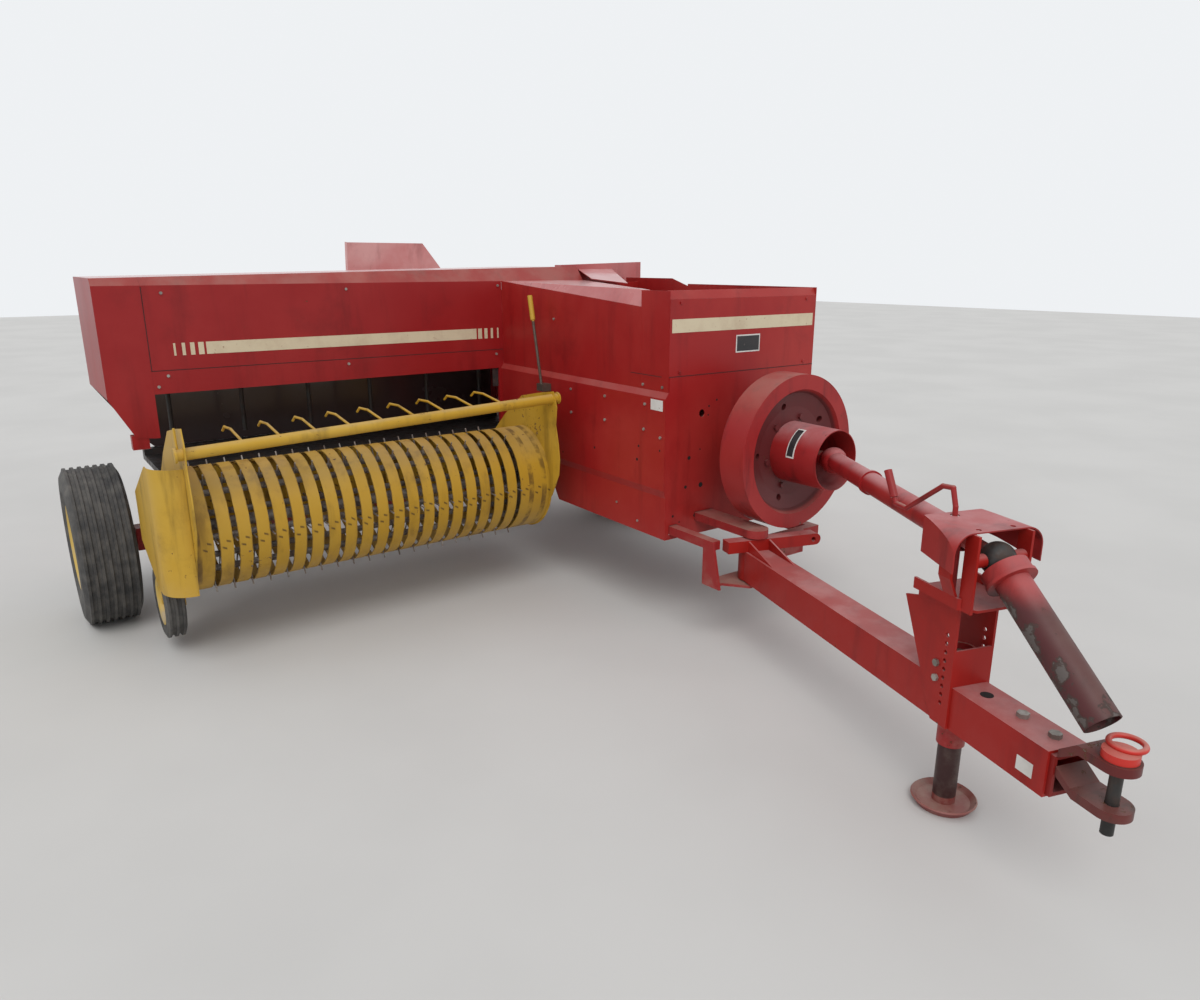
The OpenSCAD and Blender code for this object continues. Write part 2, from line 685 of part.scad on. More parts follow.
// Front body
// The side panel's outline in section, moved in by some inset
function side_line(inset) = [[low_x + inset, body_z], [low_x + inset, crease_z - 35],
    [panel_x + inset, crease_z],
    [panel_x + inset, ledge_z], [side_x + inset, ledge_top]];
module side_panel() {
    inner = side_line(sheet);
    color(red) intersection() {
        sheet_xz(front_y, body_front - feeder_front,
            concat(side_line(0), [for (i = [4 : -1 : 0]) inner[i]]));
        sheet_yz(panel_x - 1, 2 * ledge_out + sheet, [[front_y, body_z], [front_y + body_low_len, body_z],
            [front_y + body_low_len + 120, body_z + 180], [feeder_y - 60 - gap, body_z + 260],
            [feeder_y - 60 - gap, floor_z + 10], [feeder_y - gap, floor_z + 10],
            [feeder_y - gap, ledge_top], [front_y, ledge_top]]);
    }
}
module upper_panel() {
    color(red) sheet_yz(side_x, sheet, [[front_y + box_len + gap, ledge_top + gap],
        [feeder_y - gap, ledge_top + gap],
        [feeder_y - gap, bend_z], [front_y + box_len + gap, body_top - 74]]);
}
module roof_panel() {
    edge_x = side_x + sheet + gap;
    fold_back = [edge_x, feeder_y - sheet - gap, bend_z];
    fold_front = [edge_x, front_y + box_len + gap, body_top - 74];
    inner_front = [side_x + 45, front_y + box_len + gap, body_top - 2];
    inner_back = [case_x + 38, feeder_y - sheet - gap, bend_z];
    seat_y = feeder_y + 73 - sheet - gap;
    color(red) {
        corner_sheet([fold_back, fold_front, inner_front]);
        corner_sheet([fold_back, inner_front, inner_back]);
        hull() for (p = [[strip_end_x + 16, seat_y, feeder_top + 30], [case_x + 306, seat_y,
            feeder_top + 30],
            [case_x + 183, feeder_y - 253, body_top + 3], [case_x + 6, feeder_y - 150, body_top + 28]])
            translate(p - [0, 0, sheet]) cube(sheet);
    }
}
module twine_box() {
    inner_y = front_y + sheet + gap;
    step_y = feeder_y - 520;
    bin_end_y = feeder_y + 60;
    rim_lean = 20;
    wall_x = left_x - sheet;
    color(red) {
        span([side_x, front_y, box_z], [left_x - sheet - gap, front_y + sheet, rim_z]);
        span([case_x + 180, front_y, box_low_z], [wall_x - gap, front_y + sheet, box_z - gap]);
        sheet_yz(side_x, body_left + body_right - sheet - gap, [[front_y, rim_z + gap],
            [front_y + rim_lean, body_top],
            [front_y + rim_lean + sheet, body_top], [front_y + sheet, rim_z + gap]]);
        span([side_x, inner_y, ledge_top + gap], [side_x + sheet, front_y + box_len, body_top - 2]);
        span([side_x + sheet + gap, inner_y, box_z], [wall_x - gap, bin_rear_y - gap, box_z + sheet]);
        span([side_x + sheet + gap, bin_rear_y, box_z], [wall_x - gap, bin_rear_y + sheet, bend_z - 12]);
        span([wall_x, front_y, box_low_z], [left_x, step_y - gap, body_top]);
        sheet_yz(wall_x, sheet, [[step_y, box_z - 55], [bin_end_y, box_z - 55], [bin_end_y, body_top + 29],
            [step_y + 140, body_top + 29], [step_y, body_top - 12]]);
        for (y = [case_y0 + 80, bin_rear_y - 190])
            span([case_x - 200, y, case_top + gap], [case_x + 200, y + 60, box_z - gap]);
    }
}
// Arms of the swing bracket, as [left x, right x, low z, high z]
arms = [[case_x - 490, case_x - 445, rail_z - 26, rail_z + 14], [pivot[0] - 55, pivot[0] + 55,
    beam_top + 58, beam_top + 94],
    [case_x + 190, case_x + 240, beam_top - 56, beam_top - 6]];
module front_panel() {
    room = 3;
    step_x = case_x + 180 - gap;
    color(red) difference() {
        sheet_xz(front_y, sheet, concat(side_line(sheet + gap), [[side_x + sheet + gap, box_z - gap],
            [step_x, box_z - gap], [step_x, box_low_z - gap], [left_x - gap, box_low_z - gap],
            [left_x - gap, body_z]]));
        translate([fly_x, front_y - 1, drive_z]) rotate([-90, 0, 0]) cylinder(h = sheet + 2, d = 190);
        for (a = arms) span([a[0] - room, front_y - 1, a[2] - room], [a[1] + room, front_y + sheet + 1,
            a[3] + room]);
        translate([side_x + 201, front_y - 1, ledge_z - 81]) rotate([-90, 0, 0]) cylinder(h = sheet + 2,
            d = 34);
    }
}
module left_panel() {
    color(red) sheet_yz(left_x, sheet, [[front_y, body_z], [case_y0 + 100, body_z],
        [case_y0 + 100, box_low_z - gap], [front_y, box_low_z - gap]]);
}

// Drive line
module flywheel() {
    rim_r = flywheel_d / 2;
    face = rim_r - 65;
    color(red) translate([fly_x, fly_y0, drive_z]) rotate([-90, 0, 0]) difference() {
        rotate_extrude() polygon([[30 + running, web_y - 5], [62, web_y - 5], [62, web_y], [200, web_y],
            [face - 18, web_y - 15],
            [face, 0], [rim_r, 0], [rim_r, flywheel_w], [rim_r - 45, flywheel_w], [rim_r - 75, 85],
                [200, 80],
            [75, 80], [75, 118], [30 + running, 118]]);
        for (i = [0 : 4]) rotate([0, 0, 36 + i * 72]) translate([215, 0, -1]) cylinder(h = flywheel_w,
            d = 30);
    }
}
module drive_bell() {
    bell_len = 207 + web_y - gap;
    color(red) translate([fly_x, fly_y0 + web_y - gap, drive_z]) rotate([90, 0, 0]) rotate_extrude()
        polygon([[64, 0], [135, 0], [132, bell_len], [128, bell_len], [131, 5], [64, 5]]);
}
module rear_guard() {
    color(red) along(joint_a, joint_b) difference() {
        union() {
            sphere(r = joint_r);
            cylinder(h = guard_len, d = guard_d);
            translate([0, 0, guard_len * 0.35]) cylinder(h = 18, d = guard_d + 14);
        }
        translate([0, 0, 45]) cylinder(h = guard_len, d = guard_d - 5);
    }
}
module inner_guard() {
    inner_len = 420;
    color(red) along(joint_b, joint_a) difference() {
        translate([0, 0, 44]) cylinder(h = inner_len - 44, d = inner_guard_d);
        translate([0, 0, 60]) cylinder(h = inner_len, d = inner_guard_d - 6);
        sphere(r = cross_r + gap);
    }
}
module tower_plate() {
    // Positions ahead of the tongue's pivot
    front = support_d - 43;
    rear = front - 235;
    difference() {
        union() {
            polygon([[-front, tongue_z], [-front, 667], [-rear - 58, 667], [-rear, 650],
                [-rear - 105, beam_top - 6],
                [-rear - 165, tongue_z]]);
            polygon([[-front, 660], [-front, tower_z + 1], [-rear - 58, tower_z + 1], [-rear - 58, 660]]);
        }
        for (i = [0 : tower_holes - 1]) translate([-front + 35, tongue_z + 72 + i * 27.6]) circle(d = 14);
    }
}
module support_tower() {
    plate = 8;
    post_x = 88;
    tray_w = 105;
    tray_y = [-support_d - 20, -support_d + 208];
    inner = tongue_w / 2 + gap;
    color(red) on_tongue() {
        for (x = [-inner - plate, inner]) translate([x, 0, 0]) across() linear_extrude(plate) tower_plate();
        span([-inner - 1, -support_d + 43, beam_top + gap], [inner + 1, -support_d + 50, tower_z - 147]);
        difference() {
            union() {
                span([-tray_w, tray_y[0], tower_z], [tray_w, tray_y[1], tower_z + plate]);
                for (x = [-tray_w, tray_w - plate]) span([x, tray_y[0], tower_z], [x + plate, tray_y[1],
                    tower_z + 35]);
            }
            for (side = [-1, 1]) translate([side * tray_w, tray_y[0], tower_z - 1]) rotate([0, 0, 45])
                cube([56, 56, 100], center = true);
        }
        for (x = [-post_x - plate, post_x]) span([x, -support_d - 25, tower_z],
            [x + plate, -support_d + 25, cover_top - sheet - gap]);
        translate([0, -support_d, drive_z + 5]) {
            disc_x(-post_x - 1, -cross_r - gap, 20);
            disc_x(cross_r + gap, post_x + 1, 20);
        }
        sheet_xz(-support_d + 30, 50, [[-tray_w, tower_z + 35], [-tray_w, tower_z + 25],
            [-tray_w + plate, tower_z + 25],
            [-tray_w + plate, tower_z + 35], [-122, 790], [-122, drive_z + 20], [-130, drive_z + 20],
                [-130, 792]]);
    }
}
// The cover's outer or inner form: rounded on top, wider at its front
module cover_form(inset, reach) {
    front_y1 = -support_d - 2 - reach;
    rear_y1 = -support_d + 193 + reach;
    half = 95;
    corner = 60 - inset;
    intersection() {
        translate([0, rear_y1, 0]) rotate([90, 0, 0]) linear_extrude(rear_y1 - front_y1) union() {
            for (side = [-1, 1]) translate([side * half, cover_top - 60]) circle(r = corner);
            translate([-half, cover_top - 60]) square([2 * half, corner]);
            translate([-half - corner, drive_z - 60]) square([2 * (half + corner), 91]);
        }
        sheet_xy(drive_z - 100, 300, [[-156 + inset, -support_d - 2 - 200],
            [156 - inset, -support_d - 2 - 200],
            [156 - inset, -support_d - 2], [105 - inset, rear_y1], [-105 + inset, rear_y1],
                [-156 + inset, -support_d - 2]]);
    }
}
module drive_cover() {
    cut_z = drive_z - 23;
    color(red) on_tongue() difference() {
        cover_form(0, 0);
        cover_form(sheet, 1);
        span([-200, -support_d - 100, drive_z - 200], [200, -support_d + 300, cut_z]);
        sheet_yz(1, 200, [[-support_d - 10, cut_z - 1], [-support_d - 10, cut_z + 4],
            [-support_d + 13, cut_z + 7],
            [-support_d + 133, cut_z + 40], [-support_d + 200, cut_z + 50], [-support_d + 200, cut_z - 1]]);
        for (x = [-60, 60]) translate([x, -support_d + 20, cover_top - 20]) cylinder(h = 30, d = 16);
        translate([-20, -support_d + 163, cover_top - 20]) cylinder(h = 30, d = 28);
    }
}
module cross_joint() {
    color(dark) translate(joint_b) sphere(r = cross_r);
}
guard_tip_d = tongue_len - 60;
guard_tip = [pivot[0] - guard_tip_d * sin(tongue_swing), pivot[1] - guard_tip_d * cos(tongue_swing),
    beam_top + 114];
module front_guard() {
    reach = norm(guard_tip - joint_b);
    color(maroon) along(joint_b, guard_tip) difference() {
        union() {
            translate([0, 0, 34]) cylinder(h = 42, d = 136);
            translate([0, 0, 70]) cylinder(h = 10, d = 144);
            translate([0, 0, 60]) cylinder(h = reach - 60, d = front_guard_d);
        }
        translate([0, 0, 42]) cylinder(h = reach, d = front_guard_d - 8);
        sphere(r = cross_r + gap);
    }
}

// Tongue
module tongue_beam() {
    bar_x = [-149, 308];
    bar_y = [-40, 20];
    bar_z = [beam_top, beam_top + crossbar_h];
    ext_rear = pin_y + extension_len;
    color(red) on_tongue() difference() {
        union() {
            span([-tongue_w / 2, beam_front_y, tongue_z], [tongue_w / 2, 0, beam_top]);
            translate([0, 0, tongue_z]) cylinder(h = tongue_h, d = 140);
            span([bar_x[0], bar_y[0], bar_z[0]], [bar_x[1] - crossbar_h / 2, bar_y[1], bar_z[1]]);
            translate([bar_x[1] - crossbar_h / 2, bar_y[1], bar_z[0] + crossbar_h / 2]) rotate([90, 0, 0])
                cylinder(h = bar_y[1] - bar_y[0], d = crossbar_h);
            for (x = [-54, 46]) sheet_yz(x, 8, [[-259, bar_z[0] - 1], [bar_y[0] + 1, bar_z[0] - 1],
                [bar_y[0] + 1, bar_z[1] - 4]]);
        }
        translate([0, 0, tongue_z - 1]) cylinder(h = 300, d = 40 + 2 * running);
        translate([bar_x[1] - 36, bar_y[1] + 1, bar_z[0] + crossbar_h / 2]) rotate([90, 0, 0])
            cylinder(h = 80, d = 22);
        span([-tongue_w / 2 + 8, beam_front_y - 1, tongue_z + 8], [tongue_w / 2 - 8, ext_rear + 12,
            beam_top - 8]);
        translate([0, jack_y, tongue_z - 1]) cylinder(h = tongue_h + 2, d = sleeve_d + 2 * gap);
    }
}
module tongue_extension() {
    color(red) on_tongue() difference() {
        span([-tongue_w / 2 + 8 + gap, pin_y + 130, tongue_z + 8 + gap],
            [tongue_w / 2 - 8 - gap, pin_y + extension_len, beam_top - 8 - gap]);
        span([-tongue_w / 2 + 18, pin_y + 120, tongue_z + 20],
            [tongue_w / 2 - 18, pin_y + extension_len + 1, beam_top - 20]);
    }
}
// Each arm of the clevis bends away from the beam to its own plate
module hitch_clevis() {
    half_w = 50;
    root_z = [tongue_z + 74, beam_top + 14];
    color(red) on_tongue() for (i = [0, 1]) difference() {
        union() {
            sheet_yz(-half_w, 2 * half_w, i == 0
                ? [[pin_y, clevis_z[0]], [pin_y + 73, clevis_z[0]], [pin_y + 129.7, root_z[0]],
                    [pin_y + 129.7, root_z[0] + plate_t],
                    [pin_y + 80, clevis_z[0] + plate_t], [pin_y, clevis_z[0] + plate_t]]
                : [[pin_y, clevis_z[1]], [pin_y + 73, clevis_z[1]], [pin_y + 129.7, root_z[1] - plate_t],
                    [pin_y + 129.7, root_z[1]],
                    [pin_y + 80, clevis_z[1] + plate_t], [pin_y, clevis_z[1] + plate_t]]);
            translate([0, pin_y, clevis_z[i]]) cylinder(h = plate_t, d = 2 * half_w);
        }
        translate([0, pin_y, clevis_z[i] - 1]) cylinder(h = plate_t + 2, d = hitch_pin_d + 2);
    }
}
module hitch_pin() {
    head_z = clevis_z[1] + plate_t + gap;
    head_h = 22;
    ring_r = 40;
    ring_rod = 15;
    color(steel) on_tongue() translate([0, pin_y, 0]) {
        translate([0, 0, pin_tip_z]) cylinder(h = head_z - pin_tip_z + 1, d = hitch_pin_d);
        translate([0, 0, head_z]) cylinder(h = head_h, d = 86);
        translate([ring_r - 6, 14, head_z + head_h + 4]) rotate_extrude() translate([ring_r, 0])
            circle(d = ring_rod);
    }
}
module swing_bracket() {
    low = tongue_z - 6;
    plate = 12;
    room_y = 80;
    upper = arms[1];
    right = arms[0];
    left = arms[2];
    color(red) {
        sheet_xy(low - plate, plate, [[right[0], pivot[1] + 110], [right[0], pivot[1] + 38],
            [right[0] + 55, pivot[1] + 38],
            [pivot[0] - 80, pivot[1] - 60], [pivot[0] + 80, pivot[1] - 60], [pivot[0] + 130, pivot[1]],
            [pivot[0] + 130, pivot[1] + 110]]);
        translate([pivot[0], pivot[1], low - plate]) cylinder(h = upper[3] - low + plate, d = 40);
        sheet_yz(right[0], plate, [[pivot[1], low - plate], [pivot[1] + 110, low - plate],
            [pivot[1] + 110, right[3]],
            [pivot[1] + 50, right[3]]]);
        span([right[0], pivot[1] + 50, right[2]], [right[1], rail_front_y + 60, right[3]]);
        span([right[1] - 1, rail_front_y, right[2]], [rail_x[0] - gap, rail_front_y + 60, right[3]]);
        translate([pivot[0], pivot[1], upper[2]]) cylinder(h = upper[3] - upper[2], d = 110);
        span([upper[0], pivot[1], upper[2]], [upper[1], rail_front_y - gap, upper[3]]);
        span([left[0], pivot[1] + room_y, left[2]], [left[1], rail_front_y + 60, left[3]]);
        span([left[0], rail_front_y, left[3] - 1], [rail_x[1] - gap, rail_front_y + 60, rail_z - gap]);
        span([case_x - 85, pivot[1] + room_y, left[2]], [left[0] + 1, pivot[1] + room_y + 40, left[3]]);
        difference() {
            span([case_x - 85, pivot[1] + room_y - 10, tongue_z + 20],
                [case_x + 124, pivot[1] + room_y + 1, left[3]]);
            for (x = [case_x - 40, case_x + 80]) translate([x, pivot[1], tongue_z + 65])
                rotate([-90, 0, 0]) cylinder(h = 200, d = 22);
        }
    }
}

// Jack
module jack_sleeve() {
    color(red) on_tongue() translate([0, jack_y, 0]) difference() {
        translate([0, 0, sleeve_z[0]]) cylinder(h = sleeve_z[1] - sleeve_z[0], d = sleeve_d);
        cylinder(h = sleeve_z[1] + 1, d = jack_leg_d + 2 * running);
    }
}
module jack_leg() {
    foot_r = foot_w / 2;
    color(dark) on_tongue() translate([0, jack_y, 0]) {
        cylinder(h = sleeve_z[1] - 20, d = jack_leg_d);
        rotate_extrude() polygon([[0, 0], [foot_r - 16, 0], [foot_r, 22], [foot_r - 4, 26],
            [foot_r - 20, 12], [0, 12]]);
    }
}
module jack_crank() {
    rod_d = 16;
    shaft_x = -62;
    top_y = -support_d + 162;
    color(steel) on_tongue() {
        translate([shaft_x, jack_y, tower_z + 8 + gap]) cylinder(h = 215, d = 20);
        bent_rod([[shaft_x, jack_y, tower_z + 215], [-20, top_y, cover_top - 30],
            [-20, top_y + 2, cover_top + 25],
            [-20, top_y + 20, cover_top + 78], [-20, top_y + 64, cover_top + 73],
                [-20, top_y + 218, cover_top - 38],
            [-20, top_y + 272, cover_top - 36], [-20, top_y + 328, cover_top + 62]], rod_d);
        along([-20, top_y + 282, cover_top - 18], [-20, top_y + 328, cover_top + 62]) cylinder(h = 92,
            d = 26);
    }
}

// Pickup
module guard_axis() {
    translate([pickup_left_x, guard_y, guard_z]) rotate([0, -guard_sag, 0]) children();
}
module end_sheet() {
    rear_y = pick_arm_y + 40 - reel_cy;
    rear_z = pickup_pivot_z - reel_z;
    difference() {
        union() {
            circle(r = band_r + 8);
            polygon([[0, -band_r + 4], [-158, -181], [-277, -54], [-340, 60], [-350, 140], [-342, 210],
                [-318, 311],
                [-330, 400], [-300, 475], [-190, 458], [0, 420], [180, 300], [rear_y, rear_z + 60],
                    [rear_y, rear_z - 50]]);
        }
        circle(r = reel_shaft_d / 2 + running);
        translate([pick_arm_y - reel_cy, rear_z]) circle(r = pivot_pin_d / 2 + running);
    }
}
module pickup_sheets() {
    sheet_t = 5;
    color(yellow) {
        for (x = [pickup_right_x - sheet_t, pickup_left_x]) difference() {
            translate([x, reel_cy, reel_z]) across() linear_extrude(sheet_t) end_sheet();
            guard_axis() disc_x(-pickup_w - 60, 60, guard_tube_d / 2 + running);
        }
        translate([0, pick_arm_y, pickup_pivot_z])
            disc_x(pickup_right_x, pickup_left_x, 28, pivot_pin_d / 2 + running);
    }
}
module pickup_hangers() {
    hanger_t = 12;
    root_y = axle_y - beam_w / 2 - gap;
    color(red) for (side = [-1, 1]) {
        x = side < 0 ? pickup_right_x - hanger_t - 13 : pickup_left_x + 13;
        sheet_yz(x, hanger_t, [[root_y, wheel_z - beam_h / 2], [pick_arm_y - 40, pickup_pivot_z - 30],
            [pick_arm_y - 40, pickup_pivot_z + 40], [pick_arm_y + 30, pickup_pivot_z + 40],
            [root_y, wheel_z + beam_h / 2]]);
        translate([0, pick_arm_y, pickup_pivot_z]) disc_x(side < 0 ? x : pickup_left_x - pin_in,
            side < 0 ? pickup_right_x + pin_in : x + hanger_t, pivot_pin_d / 2);
    }
}
// A stripper band: half a ring in front, with a straight tail above and below it
module stripper_band(x, width) {
    tail = reel_y - pickup_pivot_y - 60;
    translate([x, reel_cy, reel_z]) across() linear_extrude(width) {
        difference() {
            circle(r = band_r);
            circle(r = band_r - band_t);
            translate([0, -band_r - 1]) square([band_r + 2, 2 * band_r + 2]);
        }
        polygon([[-1, band_r - band_t], [-1, band_r], [tail, band_r - 90], [tail, band_r - 90 - band_t]]);
        polygon([[-1, -band_r], [-1, -band_r + band_t], [tail, -90], [tail, -90 - band_t]]);
    }
}
module stripper_bands() {
    slot = tine_pitch - band_w;
    last_x = pickup_right_x + first_slot + (tine_slots - 1) * tine_pitch + slot / 2;
    color(yellow) {
        stripper_band(pickup_right_x + gap, first_slot - slot / 2 - gap);
        for (i = [1 : tine_slots - 1])
            stripper_band(pickup_right_x + first_slot + (i - 0.5) * tine_pitch - band_w / 2, band_w);
        stripper_band(last_x, pickup_left_x - gap - last_x);
        span([pickup_right_x + gap, reel_cy + reel_y - pickup_pivot_y - 60, reel_z - 95],
            [pickup_left_x - gap, reel_cy + reel_y - pickup_pivot_y - 50, reel_z + band_r - 90]);
    }
}
module tine_reel() {
    color(steel) translate([0, reel_cy, reel_z]) {
        disc_x(pickup_right_x - 30, pickup_left_x + 30, reel_shaft_d / 2);
        for (x = [pickup_right_x + 8, pickup_left_x - 14]) disc_x(x, x + 6, bar_r + 20);
        for (b = [0 : tine_bars - 1]) rotate([b * 360 / tine_bars, 0, 0]) {
            translate([0, -bar_r, 0]) disc_x(pickup_right_x + 8, pickup_left_x - 8, 14);
            for (i = [0 : tine_slots - 1]) translate([pickup_right_x + first_slot + i * tine_pitch,
                -bar_r, 0])
                rotate([90, 0, 0]) cylinder(h = tine_r - bar_r, d = 7, $fn = 6);
        }
    }
}
module wind_guard() {
    rod_len = 280;
    rod_gap = (pickup_w - 490) / (guard_rods - 1);
    color(yellow) guard_axis() {
        disc_x(-pickup_w - 30, 30, guard_tube_d / 2);
        disc_x(30 - 1, 38, guard_tube_d / 2 + 6);
        disc_x(-pickup_w - 38, -pickup_w - 29, guard_tube_d / 2 + 6);
        for (i = [0 : guard_rods - 1]) translate([-pickup_w + 220 + i * rod_gap, 0, 0])
            bent_rod([[0, 0, 10], [0, rod_len * 0.7, 36], [-6, rod_len, 34], [-10, rod_len + 26, 14]], 11);
        translate([-pickup_w - 22, 0, 20]) cylinder(h = 85, d = 9);
    }
}
// The nose turns from the pickup's front around to its outer side
module pickup_nose() {
    nose_r = 118;
    nose_y = reel_cy - band_r + nose_r + 6;
    rear_y = axle_y - tyre_d / 2 - 75;
    nose_z = [reel_z - 215, reel_z + 310];
    color(yellow) difference() {
        union() {
            translate([pickup_right_x - 6, nose_y, nose_z[0]]) difference() {
                cylinder(h = nose_z[1] - nose_z[0], r = nose_r);
                translate([0, 0, -1]) cylinder(h = 900, r = nose_r - 4);
                translate([-300, 0, -1]) cube([600, 300, 900]);
                translate([0, -300, -1]) cube([300, 600, 900]);
            }
            span([pickup_right_x - 6 - nose_r, nose_y - 1, nose_z[0]], [pickup_right_x - 2 - nose_r,
                rear_y, nose_z[1]]);
            for (z = [reel_z - 60, reel_z + 170])
                span([pickup_right_x - 4 - nose_r, nose_y + 30, z], [pickup_right_x - 5 - gap,
                    nose_y + 55, z + 30]);
        }
        sheet_yz(pickup_right_x - 200, 400, [[nose_y + 20, nose_z[1] + 1], [rear_y + 1, reel_z + 130],
            [rear_y + 1, nose_z[1] + 1]]);
        sheet_yz(pickup_right_x - 200, 400, [[nose_y + 60, nose_z[0] - 1], [rear_y + 1, reel_z - 90],
            [rear_y + 1, nose_z[0] - 1]]);
    }
}
module gauge_arm() {
    plate_x = pickup_right_x - 5 - gap;
    hub_x = gauge_x + gauge_w / 2 + 4;
    color(yellow) {
        span([hub_x, gauge_y - 30, gauge_z - 30], [plate_x, gauge_y + 30, gauge_z + 120]);
        translate([0, gauge_y, gauge_z]) disc_x(gauge_x - 30, hub_x + 1, 15);
    }
}
module gauge_tyre() {
    color(dark) translate([gauge_x, gauge_y, gauge_z]) tyre(gauge_d / 2, gauge_w, gauge_d * 0.3 + gap, 3);
}
module gauge_rim() {
    color(yellow) translate([gauge_x, gauge_y, gauge_z]) rim(gauge_d * 0.3, gauge_w, 30, 15 + running);
}
module lift_lever() {
    foot = [side_x - ledge_out - 40, feeder_y - 500, ledge_z - 40];
    head = [side_x - ledge_out - 40, feeder_y - 400, ledge_z + 415];
    color(dark) {
        along(foot, head) cylinder(h = norm(head - foot), d = 15);
        along(foot, head) translate([0, 0, norm(head - foot) - 125]) cylinder(h = 125, d = 26);
        span([foot[0] - 12, foot[1] - 30, foot[2] - 30], [side_x - ledge_out - gap, foot[1] + 30,
            foot[2] + 8]);
    }
}

// Bale chute
module bale_chute() {
    foot = 185;
    flare = 500;
    flange = 50;
    color(red) translate([case_x, chute_y, chute_z]) rotate([chute_lean, 0, 0]) {
        sheet_xz(-20, 5, [[-foot, 0], [-foot, 60], [-chute_right, flare], [-chute_right, chute_len],
            [chute_left - 177, chute_len],
            [chute_left, chute_len - 215], [chute_left, flare], [foot, 60], [foot, 0]]);
        translate([-chute_right, -20, flare]) cube([5, flange, chute_len - flare]);
        translate([chute_left - 5, -20, flare]) cube([5, flange, chute_len - flare - 215]);
        for (x = [-150, 100]) translate([x, -16, 60]) cube([50, 25, chute_len - 300]);
        disc_x(-foot, foot, 18, chute_pin_d / 2 + running);
    }
}

axle_beam();
main_frame();
bale_case();
case_rails();
tension_gear();
gearbox();
plunger();
knotter_frame();
knotters();
needle_yoke();
knotter_hood();
metering_wheel();
feeder_shell();
feeder_front_panel();
feeder_strip();
feeder_end_panel();
feeder_floor();
feeder_forks();
side_panel();
upper_panel();
roof_panel();
twine_box();
front_panel();
left_panel();
flywheel();
drive_bell();
rear_guard();
inner_guard();
support_tower();
drive_cover();
cross_joint();
front_guard();
swing_bracket();
tongue_beam();
tongue_extension();
hitch_clevis();
hitch_pin();
jack_sleeve();
jack_leg();
jack_crank();
pickup_sheets();
pickup_hangers();
stripper_bands();
tine_reel();
wind_guard();
pickup_nose();
gauge_arm();
gauge_tyre();
gauge_rim();
lift_lever();
right_tyre();
right_rim();
left_tyre();
left_rim();
bale_chute();
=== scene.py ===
"""Looks for a towed square baler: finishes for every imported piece, and the small parts that dress them."""
import json
import logging
import math
from dataclasses import dataclass, field
from enum import Enum
from typing import Callable, Sequence, Union

import bmesh
import bpy
from mathutils import Euler, Matrix, Vector


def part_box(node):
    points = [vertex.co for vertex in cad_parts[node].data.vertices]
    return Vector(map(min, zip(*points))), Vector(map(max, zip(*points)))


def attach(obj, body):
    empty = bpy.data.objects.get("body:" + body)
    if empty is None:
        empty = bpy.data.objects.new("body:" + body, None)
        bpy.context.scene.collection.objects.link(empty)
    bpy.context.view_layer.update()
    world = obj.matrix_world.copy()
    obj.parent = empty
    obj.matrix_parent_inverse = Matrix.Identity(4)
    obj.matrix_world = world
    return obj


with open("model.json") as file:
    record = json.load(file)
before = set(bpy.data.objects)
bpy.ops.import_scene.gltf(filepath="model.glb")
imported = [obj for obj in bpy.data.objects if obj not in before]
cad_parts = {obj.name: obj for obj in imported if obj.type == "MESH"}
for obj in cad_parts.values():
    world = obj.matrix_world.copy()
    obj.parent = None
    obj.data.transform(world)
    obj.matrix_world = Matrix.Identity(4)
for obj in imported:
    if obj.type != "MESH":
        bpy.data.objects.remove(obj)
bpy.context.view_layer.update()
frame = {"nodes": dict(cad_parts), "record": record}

LOG = logging.getLogger("baler")
Colour = tuple[float, float, float]
Pair = tuple[float, float]
Triple = tuple[float, float, float]
Spans = tuple[float, float, float, float]
Value = Union["Wire", float, Sequence[float]]


class Slot(Enum):
    """The record's material slots."""

    RED = "red_paint"
    YELLOW = "yellow_paint"
    RIM = "rim_paint"
    MAROON = "worn_maroon_paint"
    STEEL = "bare_steel"
    DARK = "dark_steel"
    RUBBER = "tyre_rubber"


class Wire:
    """A node's output, which adds Math nodes when it is used in an expression."""

    def __init__(self, tree: "Tree", socket: bpy.types.NodeSocket) -> None:
        """Keeps the tree and the output socket."""
        self.tree = tree
        self.socket = socket

    def _math(self, operation: str, first: Value, second: Value) -> "Wire":
        """Adds one Math node for two values."""
        return self.tree.add("ShaderNodeMath", {"operation": operation}, {0: first, 1: second})

    def __add__(self, other: Value) -> "Wire":
        """Adds."""
        return self._math("ADD", self, other)

    def __radd__(self, other: Value) -> "Wire":
        """Adds, reflected."""
        return self._math("ADD", other, self)

    def __sub__(self, other: Value) -> "Wire":
        """Subtracts."""
        return self._math("SUBTRACT", self, other)

    def __rsub__(self, other: Value) -> "Wire":
        """Subtracts, reflected."""
        return self._math("SUBTRACT", other, self)

    def __mul__(self, other: Value) -> "Wire":
        """Multiplies."""
        return self._math("MULTIPLY", self, other)

    def __rmul__(self, other: Value) -> "Wire":
        """Multiplies, reflected."""
        return self._math("MULTIPLY", other, self)

    def highest(self, other: Value) -> "Wire":
        """Takes the larger of two values."""
        return self._math("MAXIMUM", self, other)

    def to_and_fro(self, reach: float) -> "Wire":
        """Rises to a reach and falls again, over and over."""
        return self._math("PINGPONG", self, reach)

    def fraction(self) -> "Wire":
        """Takes the part after the decimal point."""
        return self.tree.add("ShaderNodeMath", {"operation": "FRACT"}, {0: self})


